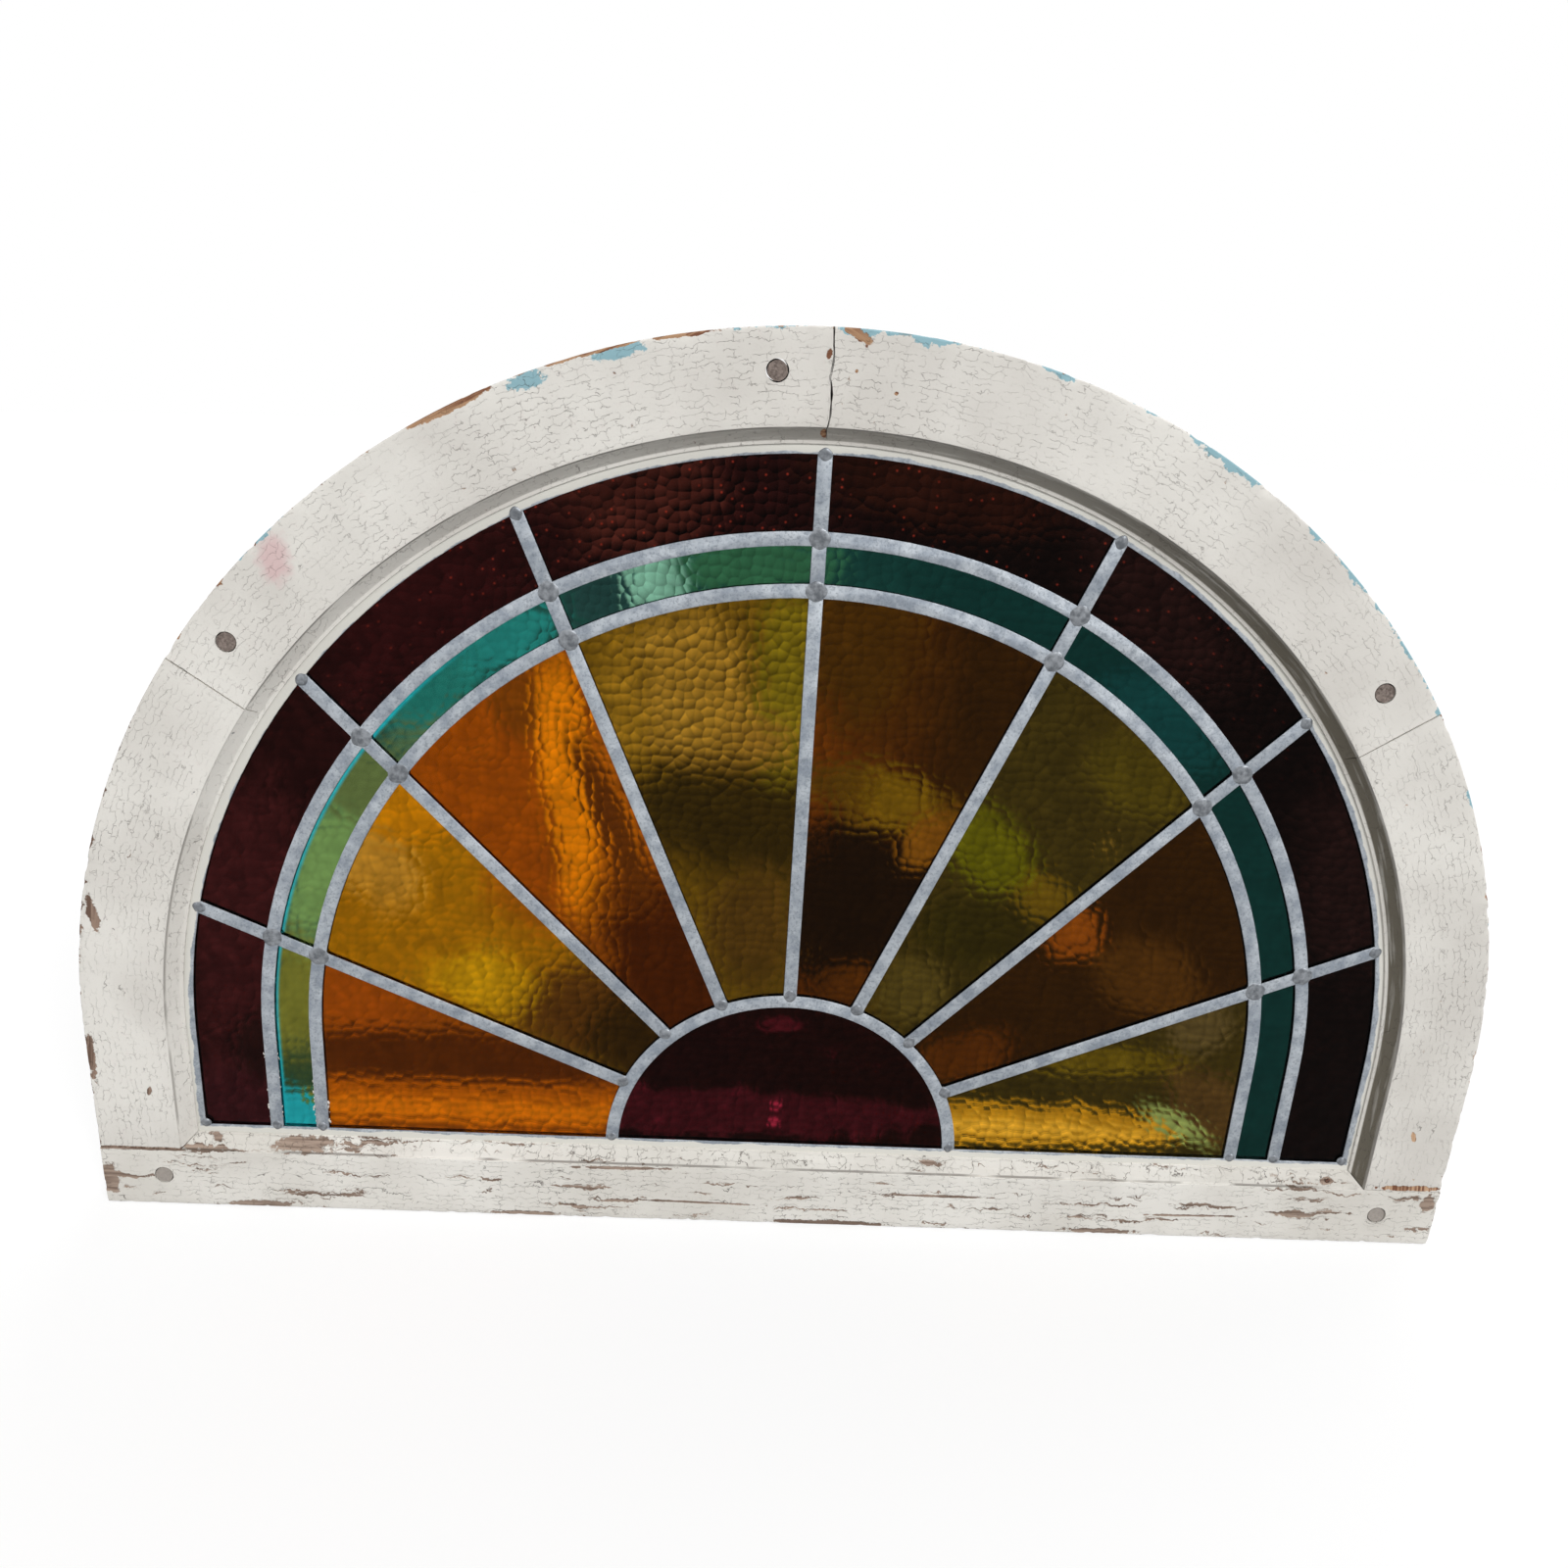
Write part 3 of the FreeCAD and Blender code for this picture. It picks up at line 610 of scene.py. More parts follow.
def chalky_crumbs():
    """Dried crumbs of white lead paint: dull, chalky and a little dirty."""
    material, tree = start_material("chalky_lead_paint")
    place = add(tree, "TexCoord").outputs["Object"]
    dust = add(tree, "TexNoise", {"Vector": place, "Scale": 1 / (2 * MM), "Detail": 3.0})
    white = blend(tree, dust, 0.35, 0.65, "#b9b3a8", "#e6e3dc")
    surface(tree, {"Base Color": white, "Roughness": 0.8}, dust, 0.4, 0.3)
    return material


def rusted_iron():
    """Small wrought nail heads: brown-black rust, dull and pitted."""
    material, tree = start_material("rusted_iron")
    place = add(tree, "TexCoord").outputs["Object"]
    pits = add(tree, "TexNoise", {"Vector": place, "Scale": 1 / (1.2 * MM), "Detail": 4.0})
    rust = blend(tree, pits, 0.3, 0.7, "#2c211c", "#7a5644")
    surface(tree, {"Base Color": rust, "Roughness": 0.85}, pits, 0.6, 0.4)
    return material


def cathedral_glass(name, body, right, streaks, painted_dimple_shade_and_tone, lens=2.0, painted_glint=None,
                    painted_edge_light=None):
    """Hammered cathedral glass, coloured right through, streaked where the batch was stirred, and
    with painted light and shade.

    Towards the right of the window it is darker: painted shade. Many of its streaks are painted
    light and shade seen through the glass, painted highlights, painted reflections and painted
    glints. Each dimple is a small lens with a random tone of its own: it shows a wider piece of
    the streaks behind it as painted refraction, with painted light on its upper left and painted
    shade round its edge. A streak is its middle, half sizes, turn, softness and tint. The painted
    dimple shade and tone is how much lighter and darker a dimple's sides are, lens how much a
    dimple draws in. The painted glints take the colour given for the few dimples that light up,
    the painted edge light that of the bright outer edge on the left.
    """
    material, tree = start_material(name)
    place = add(tree, "TexCoord").outputs["Object"]
    axes = add(tree, "SeparateXYZ", {0: place})
    flat = add(tree, "CombineXYZ", {"X": axes.outputs["X"], "Y": axes.outputs["Z"]})
    dimple = add(tree, "TexVoronoi", {
        "Vector": flat, "Scale": 1 / DIMPLE, "Randomness": 0.75,
    }, voronoi_dimensions="2D", feature="F1")
    from_middle = add(tree, "VectorMath", {0: flat, 1: dimple.outputs["Position"]},
                      operation="SUBTRACT")
    # Painted refraction: each dimple shows a wider piece of the colours around it
    bent = add(tree, "VectorMath", {0: from_middle, 1: (lens, lens, 0), 2: flat},
               operation="MULTIPLY_ADD")
    lens_axes = add(tree, "SeparateXYZ", {0: bent})
    seen = add(tree, "CombineXYZ", {"X": lens_axes.outputs["X"], "Z": lens_axes.outputs["Y"]})
    ragged = add(tree, "TexNoise", {
        "Vector": seen, "Scale": 1 / (26 * MM), "Detail": 3.0, "Roughness": 0.55})
    seen_axes = add(tree, "SeparateXYZ", {0: seen})
    # Darker towards the right of the window: painted shade seen through the glass
    across = add(tree, "MapRange", {
        "Value": seen_axes.outputs["X"], "From Min": -0.12, "From Max": 0.12},
        interpolation_type="SMOOTHSTEP")
    colour = add(tree, "MixRGB", {
        "Fac": across, "Color1": linear(body), "Color2": linear(right)})
    # Streaks, many of them painted light and shade, painted highlights and painted glints
    for *shape, soft, tint in streaks:
        cloud = spot(tree, seen, ragged, shape, 0.7, soft)
        colour = add(tree, "MixRGB", {"Fac": cloud, "Color1": colour, "Color2": linear(tint)})
    cell = add(tree, "SeparateXYZ", {0: dimple.outputs["Color"]})
    # Painted light: a bright line along the outer edge of the teal band on the left
    if painted_edge_light:
        inward = rim_distance(tree, place)
        beside = add(tree, "Math", {0: inward, 1: OUTER_RADIUS - OUTER_RING + HALF_CAME},
                     operation="SUBTRACT")
        painted_edge_band = add(tree, "MapRange", {
            "Value": beside, "From Min": 1.2 * MM, "From Max": 3.2 * MM, "To Min": 0.85,
            "To Max": 0.0})
        left = add(tree, "MapRange", {
            "Value": axes.outputs["X"], "From Min": -0.22, "From Max": -0.28})
        line = add(tree, "Math", {0: painted_edge_band, 1: left}, operation="MULTIPLY")
        colour = add(tree, "MixRGB", {
            "Fac": line, "Color1": colour, "Color2": linear(painted_edge_light)})
    # Painted glints: a few dimples in the upper panes light up
    if painted_glint:
        chosen = add(tree, "MapRange", {
            "Value": cell.outputs["X"], "From Min": 0.78, "From Max": 0.84})
        core = add(tree, "MapRange", {
            "Value": dimple.outputs["Distance"], "From Min": 0.16, "From Max": 0.06})
        upper = add(tree, "MapRange", {
            "Value": axes.outputs["Z"], "From Min": 0.36, "From Max": 0.52})
        painted_glint_mask = together(tree, chosen, core, upper)
        colour = add(tree, "MixRGB", {"Fac": painted_glint_mask, "Color1": colour, "Color2": linear(painted_glint)})
    wisp = add(tree, "MapRange", {
        "Value": ragged, "From Min": 0.3, "From Max": 0.7, "To Min": 0.84, "To Max": 1.12})
    # Painted light on each dimple's upper left and painted shade on its lower right
    lit = add(tree, "VectorMath", {0: from_middle, 1: (-0.5, 0.86, 0)}, operation="DOT_PRODUCT")
    tilt = add(tree, "MapRange", {
        "Value": lit.outputs["Value"], "From Min": -4 * MM, "From Max": 4 * MM,
        "To Min": -painted_dimple_shade_and_tone, "To Max": painted_dimple_shade_and_tone})
    # The painted light and shade of the dimples is weaker on the left
    calm = add(tree, "MapRange", {
        "Value": axes.outputs["X"], "From Min": -0.26, "From Max": -0.12, "To Min": 0.45})
    # and strongest in the given area
    deep = spot(tree, seen, ragged, STRONG_DIMPLE_SHADING, 0.5, 0.8)
    deep = add(tree, "Math", {0: deep, 1: DIMPLE_SHADING_GAIN, 2: calm}, operation="MULTIPLY_ADD")
    tilt = add(tree, "Math", {0: tilt, 1: deep, 2: 1.0}, operation="MULTIPLY_ADD")
    # Painted shade round each dimple's edge
    painted_dimple_edge_shade = add(tree, "MapRange", {
        "Value": dimple.outputs["Distance"], "From Min": 0.3, "From Max": 0.62,
        "To Min": 1.0, "To Max": 0.92})
    facet = add(tree, "MapRange", {
        "Value": cell.outputs["Y"], "To Min": 1 - FACET_SHARE * painted_dimple_shade_and_tone,
        "To Max": 1 + FACET_SHARE * painted_dimple_shade_and_tone})
    # The painted light and shade of the dimples, their random tone and the wisps scale the colour
    depth = together(tree, wisp, tilt, painted_dimple_edge_shade, facet)
    colour = add(tree, "VectorMath", {0: colour, "Scale": depth}, operation="SCALE")
    peel = add(tree, "TexNoise", {"Vector": place, "Scale": 1 / (3 * MM), "Detail": 2.0})
    shader = {"Base Color": colour, "Roughness": 0.06, "IOR": 1.1, "Transmission Weight": 1.0}
    surface(tree, shader, peel, 0.15, 0.4)
    return material


# Wooden sash


def moulded_outline(face, step):
    """Section of the sash as (distance in, depth), with worn round arrises and short runs."""
    sight = face + MOULDING
    corners = [
        (0, FRONT, 1.4 * MM),
        (face, FRONT, 0.9 * MM),
        (face + 0.2 * MM, FRONT + QUIRK, 0.3 * MM),
        (sight - LIP, LIP_FRONT, 0.4 * MM),
        (sight, LIP_FRONT, 0.5 * MM),
        (sight, PANEL_FRONT, 0),
        (sight - REBATE, PANEL_FRONT, 0),
        (sight - REBATE, BACK, 0.6 * MM),
        (0, BACK, 1.2 * MM),
    ]
    points = []
    for index, (x, y, radius) in enumerate(corners):
        here = Vector((x, y))
        before = (Vector(corners[index - 1][:2]) - here).normalized()
        after = (Vector(corners[(index + 1) % len(corners)][:2]) - here).normalized()
        if radius:
            start = here + before * radius
            end = here + after * radius
            bent = [start.lerp(here, t).lerp(here.lerp(end, t), t) for t in (0, 0.33, 0.67, 1)]
        else:
            bent = [here]
        if points:
            points += short_runs(points[-1], bent[0], step)
        points += bent
    return points + short_runs(points[-1], points[0], step)


def short_runs(start, end, step):
    """Points between two ends, so that no run is longer than a step."""
    count = max(1, math.ceil((end - start).length / step))
    return [start.lerp(end, index / count) for index in range(1, count)]


def on_rim(side, distance, depth, angle):
    """Point on the arch at a distance in from its outer edge; side is 1 right, -1 left."""
    radius = OUTER_RADIUS - distance
    return Vector((side * radius * math.cos(angle), depth,
                   ARCH_CENTRE + radius * math.sin(angle)))


def sweep_rim(piece, side, sweep):
    """Turn the open end of a rim about the arch centre."""
    steps = round(OUTER_RADIUS * sweep / SWEEP_STEP)
    bpy.ops.mesh.spin(steps=steps, angle=sweep * side, center=(0, 0, ARCH_CENTRE), axis=(0, 1, 0))


def rim(name, side, start, end):
    """Curved length of the rim between two joint angles."""
    section = moulded_outline(RIM_FACE, SECTION_STEP)
    piece = polygon(name, [on_rim(side, across, depth, start) for across, depth in section])
    edit(piece)
    sweep_rim(piece, side, end - start)
    close()
    tidy_normals(piece)
    return piece


def rim_with_leg(name, side, end):
    """Springing length of the rim on its upright leg, mitred where it meets the rail."""
    section = moulded_outline(RIM_FACE, SECTION_STEP)
    foot = RAIL_FACE + SEAT_GAP
    corners = [Vector((side * (OUTER_RADIUS - across), depth, foot)) for across, depth in section]
    piece = polygon(name, corners)
    edit(piece)
    rise = ARCH_CENTRE - foot
    bpy.ops.mesh.extrude_region_move(TRANSFORM_OT_translate={"value": (0, 0, rise)})
    sweep_rim(piece, side, end)
    close()
    select_edges(piece, lambda a, b: abs(a.z - b.z) > rise * 0.9)
    bpy.ops.mesh.subdivide(number_cuts=round(rise / SWEEP_STEP))
    close()
    tidy_normals(piece)
    return piece


def upright_prism(name, corners):
    """Cutter with the given outline in X and Z, right through the sash."""
    piece = polygon(name, [Vector((x, -CUTTER_LENGTH / 2, z)) for x, z in corners])
    edit(piece)
    bpy.ops.mesh.extrude_region_move(TRANSFORM_OT_translate={"value": (0, CUTTER_LENGTH, 0)})
    close()
    return piece


def peg_hole(x, z):
    """Cutter for one peg's hole."""
    bpy.ops.object.select_all(action="DESELECT")
    bpy.ops.mesh.primitive_cylinder_add(
        vertices=28, radius=PEG_RADIUS + PEG_PLAY, depth=CUTTER_LENGTH, location=(x, 0, z),
        rotation=(math.radians(90), 0, 0))
    bpy.ops.object.transform_apply(location=True, rotation=True, scale=True)
    return bpy.context.object


def foot_mitre(side):
    """Wedge under the leg's moulding, where the rail's moulding runs in."""
    far = SIGHT_RADIUS - MOULDING
    low = RAIL_FACE - CUTTER_SPARE / 2
    corners = [(FACE_RADIUS, RAIL_FACE), (far, RAIL_FACE + MOULDING * 2), (far, low),
               (FACE_RADIUS, low)]
    return upright_prism("mitre", [(side * x, z) for x, z in corners])


def end_mitre(side):
    """Block over the rail's end, where the leg stands."""
    far = OUTER_RADIUS + CUTTER_SPARE
    high = SIGHT_HEIGHT + MOULDING
    shoulder = RAIL_FACE - SEAT_GAP
    corners = [(FACE_RADIUS, shoulder), (far, shoulder), (far, high),
               (SIGHT_RADIUS - MOULDING, high)]
    return upright_prism("mitre", [(side * x, z) for x, z in corners])


def bottom_rail(name):
    """Rail with its moulding, cut back at both ends for the legs."""
    section = moulded_outline(RAIL_FACE, SECTION_STEP)
    piece = polygon(name, [Vector((-OUTER_RADIUS, depth, up)) for up, depth in section])
    edit(piece)
    bpy.ops.mesh.extrude_region_move(
        TRANSFORM_OT_translate={"value": (OUTER_RADIUS * 2, 0, 0)})
    close()
    select_edges(piece, lambda a, b: abs(a.x - b.x) > OUTER_RADIUS)
    bpy.ops.mesh.subdivide(number_cuts=RAIL_FIRST_CUTS)
    close()
    select_edges(piece, lambda a, b: abs(a.x - b.x) > RAIL_LONG_RUN)
    bpy.ops.mesh.subdivide(number_cuts=RAIL_SECOND_CUTS)
    close()
    tidy_normals(piece)
    return piece


def reach_from_edge(point):
    """Distance in from the sash's outer edge."""
    over = max(point.z - ARCH_CENTRE, 0)
    return OUTER_RADIUS - math.hypot(point.x, over)


def arris_weight(point):
    """Full on the long outer arrises, fading out away from them."""
    rim_side = min(reach_from_edge(point), point.z if point.z < RAIL_FACE else 1.0)
    depth = min(point.y - FRONT, BACK - point.y)
    return max(0.0, 1 - math.hypot(max(rim_side, 0), max(depth, 0)) / CHIP_REACH)


def joint_weight(point):
    """Full at the faces of the top joint, fading out away from them."""
    if point.z < ARCH_CENTRE + TORN_FLOOR:
        return 0.0
    return max(0.0, 1 - abs(point.x) / TORN_REACH)


def wear(piece):
    """Chips along the arrises, hand-planed waviness and the torn edge of the top joint."""
    chips = noise_texture("arris_chips", "CLOUDS", 9 * MM, 0.25, 0.45, noise_depth=3)
    apply_modifier(piece, "DISPLACE", texture=chips, texture_coords="LOCAL", mid_level=1.0,
                   strength=CHIP_DEPTH, vertex_group=weights(piece, "arris", arris_weight))
    planed = noise_texture("planed_waves", "CLOUDS", 70 * MM, noise_depth=1)
    apply_modifier(piece, "DISPLACE", texture=planed, texture_coords="LOCAL", mid_level=1.0,
                   strength=WAVE_DEPTH)
    torn = noise_texture("torn_joint", "CLOUDS", 6 * MM, 0.2, 0.8, noise_depth=3)
    apply_modifier(piece, "DISPLACE", texture=torn, texture_coords="LOCAL", mid_level=0.5,
                   strength=TORN_DEPTH, direction="X",
                   vertex_group=weights(piece, "joint", joint_weight))


def shut_behind(piece, joint):
    """Close a joint behind its torn front edge, so that no light shows through it."""
    for vertex in piece.data.vertices:
        across = abs(vertex.co.x)
        up = vertex.co.z - ARCH_CENTRE
        reach = math.hypot(across, up)
        off = (math.atan2(up, across) - joint) * reach
        if abs(off) < SHUT_REACH and vertex.co.y > FRONT + TORN_FRONT:
            side = math.copysign(1, vertex.co.x)
            vertex.co.x = side * reach * math.cos(joint)
            vertex.co.z = ARCH_CENTRE + reach * math.sin(joint)


def on_fan(radius, angle, across=0.0):
    """Point on the arch at a radius and angle, moved square to the ray; angle 90 is the top."""
    x = radius * math.cos(angle) - across * math.sin(angle)
    z = radius * math.sin(angle) + across * math.cos(angle)
    return x, ARCH_CENTRE + z


def peg_places():
    """Where the five pegs go through the sash."""
    ring = OUTER_RADIUS - 27 * MM
    back_step = 33 * MM
    right = on_fan(ring, SIDE_JOINT, back_step)
    top = on_fan(ring, TOP_JOINT, back_step)
    rail_x = OUTER_RADIUS - 45 * MM
    rail_z = 26 * MM
    return [right, top, (-right[0], right[1]), (rail_x, rail_z), (-rail_x, rail_z)]


# Bare patches as middle, half width, half height in mm and turn in degrees
RAIL_FLAKES = [
    (-358, 54.5, 38, 9, 0),
    (-424, 57, 10, 4, -20),
    (-505, 22, 11, 20, 0),
    (-395, 2.5, 40, 4.5, 3),
    (420, 52.5, 8, 3, 10),
    (500, 38, 8, 12, 0),
    (250, 3, 40, 3.5, 0),
    (40, 2, 70, 3.5, 0),
    (-190, 2, 40, 3, 0),
    (-120, 46, 50, 2.2, 1),
    (120, 30, 60, 1.6, 0),
    (-60, 17, 70, 1.4, -1),
    (320, 20, 55, 1.5, 1),
    (-478, 48.6, 60, 1.4, 0),
]
RIGHT_LOWER_FLAKES = [(480, 51.5, 34, 3.6, 1), (476, 98, 2.5, 6, 20)]
LEFT_LOWER_FLAKES = [(-466, 100, 2.5, 6, -15), (-505, 126, 5, 26, 0), (-490, 243, 5, 22, 8),
                     (-478, 49.6, 64, 1.8, 0)]
RIGHT_UPPER_FLAKES = [(15, 648.5, 17, 5.5, -32), (40, 616, 1.8, 1.8, 0), (15, 628, 1.5, 1.8, 0)]
LEFT_UPPER_FLAKES = [(-232, 595.5, 44, 5, 27), (-152, 629.5, 60, 3, 17), (-90, 644, 34, 2.5, 10),
                     (-2.5, 637, 3, 4.5, 0), (-2, 590, 3, 4.5, 0)]
LEFT_BLUE_CHIPS = [(-185, 614, 18, 8, 21), (-131, 632, 26, 7, 15)]

# Faint stain of old paint rubbed off on the rim, with its colour
LEFT_STAINS = [(-345, 497, 15, 22, 0, "#d9a8ac")]


def make_sash():
    """Rail and rims with worn arrises and the holes for their pegs."""
    # The reveal's dirt and painted shade go from the value on the left to the value on the right
    base = {"light": "#ebe8e1", "shade": "#d9d5ce", "crack": 0.52, "cover": 0.13, "net": 0.8,
            "split": -0.04, "checks": 0.0, "wood": "#b08a6a", "dark_wood": "#7a4f38",
            "face": RIM_FACE, "dirt_and_shade_left": 0.03, "dirt_and_shade_right": 0.95, "blue_left": -3.0,
            "blue_right": 0.5, "bare": -1.4, "strip": 0.75, "stains": [], "blue_chips": [],
            "deep_blue": 0}
    left = dict(base, blue_left=-2.0, blue_right=-0.6, bare=-0.6, stains=LEFT_STAINS,
                blue_chips=LEFT_BLUE_CHIPS)
    low_left = dict(left, blue_left=-4.4, blue_right=-4.4, deep_blue=4, bare=0.0, split=0.02,
                    wood="#9c8474", dark_wood="#6a5346")
    low_right = dict(base, blue_left=-4, blue_right=-4, deep_blue=4, bare=-0.8, wood="#c9a483",
                     split=0.02)
    rail = dict(base, light="#eeebe4", shade="#dcd8d0", crack=0.75, cover=0.13, net=0.85,
                split=0.06, checks=0.18, wood="#a89485", dark_wood="#7d6a5d", face=RAIL_FACE,
                dirt_and_shade_left=0.12, dirt_and_shade_right=0.2, blue_left=-30, blue_right=-30, bare=-1.0,
                strip=0.61)
    gap = JOINT_GAP / OUTER_RADIUS
    pegs = peg_places()
    plans = [
        ("right_lower_rim", rim_with_leg("worn_right_lower_rim", 1, SIDE_JOINT - gap),
         [foot_mitre(1)], math.radians(98), RIGHT_LOWER_FLAKES, low_right),
        ("left_lower_rim", rim_with_leg("worn_left_lower_rim", -1, SIDE_JOINT - gap),
         [foot_mitre(-1)], math.radians(82), LEFT_LOWER_FLAKES, low_left),
        ("right_upper_rim", rim("worn_right_upper_rim", 1, SIDE_JOINT + gap, TOP_JOINT - gap),
         [peg_hole(*pegs[0])], math.radians(-28), RIGHT_UPPER_FLAKES, base),
        ("left_upper_rim", rim("worn_left_upper_rim", -1, SIDE_JOINT + gap, TOP_JOINT - gap),
         [peg_hole(*pegs[1]), peg_hole(*pegs[2])], math.radians(28), LEFT_UPPER_FLAKES, left),
    ]
    for node, piece, cutters, grain, flakes, tones in plans:
        cut_away(piece, cutters)
        wear(piece)
        shut_behind(piece, SIDE_JOINT)
        shut_behind(piece, TOP_JOINT)
        paint = crackled_paint("crackled_paint_" + node, grain, rim_distance, rim_run, flakes,
                               tones)
        finish_piece(piece, paint, "painted_softwood", node)
    piece = bottom_rail("worn_bottom_rail")
    cut_away(piece, [end_mitre(1), end_mitre(-1), peg_hole(*pegs[3]), peg_hole(*pegs[4])])
    wear(piece)
    paint = crackled_paint("crackled_paint_bottom_rail", 0.0, rail_distance, rail_run, RAIL_FLAKES,
                           rail)
    finish_piece(piece, paint, "painted_softwood", "bottom_rail")


def joined(name, pieces):
    """Join finished copies into one mesh."""
    bpy.ops.object.select_all(action="DESELECT")
    for piece in pieces:
        piece.select_set(True)
    bpy.context.view_layer.objects.active = pieces[0]
    bpy.ops.object.join()
    whole = bpy.context.object
    whole.name = name
    return whole


def duplicate(piece, matrix):
    """Copy with its own mesh, put in place in its vertices."""
    copy = bpy.data.objects.new(piece.name, piece.data.copy())
    bpy.context.scene.collection.objects.link(copy)
    copy.data.transform(matrix)
    return copy


# Rings inset one after another on a peg's ends, in mm, and the turn from peg to peg
PEG_RINGS = (0.5, 1.6, 1.8, 1.2)
PEG_TURN = 1.3
PEG_SLACK = 0.1 * MM
PEG_ROUGHNESS = 0.7 * MM


def make_pegs():
    """Round pegs with a hollowed, checked end, modelled once and set in the five holes."""
    bpy.ops.object.select_all(action="DESELECT")
    length = BACK - FRONT - PEG_RECESS * 2
    bpy.ops.mesh.primitive_cylinder_add(
        vertices=26, radius=PEG_RADIUS - PEG_SLACK, depth=length,
        rotation=(math.radians(90), 0, 0), end_fill_type="NGON")
    bpy.ops.object.transform_apply(location=True, rotation=True, scale=True)
    peg = bpy.context.object
    edit(peg)
    bpy.ops.mesh.select_mode(type="FACE")
    bpy.ops.mesh.select_all(action="DESELECT")
    close()
    for face in peg.data.polygons:
        face.select = abs(face.normal.y) > 0.9
    bpy.ops.object.mode_set(mode="EDIT")
    for inward in PEG_RINGS:
        bpy.ops.mesh.inset(thickness=inward * MM)
    close()
    rough = noise_texture("split_ends", "CLOUDS", 2.5 * MM, noise_depth=2)
    copies = []
    for turn, (x, z) in enumerate(peg_places()):
        place = Matrix.Translation((x, 0, z)) @ Matrix.Rotation(turn * PEG_TURN, 4, "Y")
        copy = duplicate(peg, place)
        apply_modifier(copy, "DISPLACE", texture=rough, texture_coords="LOCAL", mid_level=0.8,
                       strength=PEG_ROUGHNESS)
        copies.append(copy)
    bpy.data.objects.remove(peg)
    whole = joined("weathered_pegs", copies)
    finish_piece(whole, weathered_peg_wood(), "peg_wood", "joint_pegs")


# Nail heads as x, depth behind the front and z, in mm
NAIL_PLACES = [(-466, 1.2, 100), (476, 1.2, 98), (421, 4, 53.5)]
NAIL_RADIUS = 2.2 * MM
NAIL_DENT = 0.5 * MM


def make_nails():
    """Three old nail heads left in the paint."""
    bpy.ops.object.select_all(action="DESELECT")
    bpy.ops.mesh.primitive_uv_sphere_add(segments=12, ring_count=8, radius=NAIL_RADIUS)
    nail = bpy.context.object
    edit(nail)
    bpy.ops.transform.resize(value=(1.0, 0.35, 0.8))
    close()
    dent = noise_texture("hammered_head", "CLOUDS", 1.5 * MM)
    apply_modifier(nail, "DISPLACE", texture=dent, texture_coords="LOCAL", strength=NAIL_DENT)
    copies = []
    for turn, (x, depth, z) in enumerate(NAIL_PLACES):
        spin = Matrix.Rotation(turn, 4, "Y")
        place = Matrix.Translation((x * MM, FRONT + depth * MM, z * MM))
        copies.append(duplicate(nail, place @ spin))
    bpy.data.objects.remove(nail)
    finish_piece(joined("nail_heads", copies), rusted_iron(), None)


# Leaded panel
CAME_ROUNDING = 0.45 * MM


def make_lead():
    """Cames with dressed, slightly rounded flanges."""
    lead = oxidised_lead()
    names = ["sun_lead", "sill_lead", "inner_ring_lead", "outer_ring_lead", "edge_lead"]
    names += ["spoke_lead_%d" % number for number in range(1, 8)]
    for node in names:
        piece = copy_of(node, "dressed_" + node)
        apply_modifier(piece, "BEVEL", width=CAME_ROUNDING, segments=2, limit_method="ANGLE",
                       angle_limit=math.radians(40))
        finish_piece(piece, lead, "came_lead", node)


def ray_reach(angle, radius, centre_above):
    """Distance along a spoke from the fan point to a circle centred above that point."""
    shift = centre_above * math.cos(angle)
    return centre_above * math.sin(angle) + math.sqrt(radius * radius - shift * shift)


# Half widths of the solder dabs, and small shifts of the ones at the sun and the sill
RING_DAB = 7.4 * MM
SUN_DAB = 4.8 * MM
EDGE_DAB = 4.6 * MM
SILL_DAB = 3.8 * MM
SILL_DAB_RISE = 1.2 * MM
SUN_BELOW = 3.5 * MM

# Half height of a dab, how far it is sunk in the came and how deep its dents are
DAB_HEIGHT = 1.5 * MM
DAB_SUNK = 0.5 * MM
DAB_DENT = 0.5 * MM


def solder_places():
    """Every soldered spot as x, z, turn and half width."""
    arch_above = ARCH_CENTRE - FAN_HEIGHT
    places = []
    for angle in SPOKE_ANGLES:
        reaches = [(ray_reach(angle, INNER_RING, arch_above), RING_DAB),
                   (ray_reach(angle, OUTER_RING, arch_above), RING_DAB),
                   (ray_reach(angle, SUN_RADIUS + HALF_CAME, -SUN_BELOW), SUN_DAB),
                   (ray_reach(angle, EDGE_CAME, arch_above), EDGE_DAB)]
        for reach, half in reaches:
            x = reach * math.cos(angle)
            z = FAN_HEIGHT + reach * math.sin(angle)
            places.append((x, z, angle, half))
    for x in (SUN_RADIUS, INNER_RING, OUTER_RING, EDGE_CAME):
        places.append((x, SILL_TOP + SILL_DAB_RISE, 0.0, SILL_DAB))
        places.append((-x, SILL_TOP + SILL_DAB_RISE, 0.0, SILL_DAB))
    return places


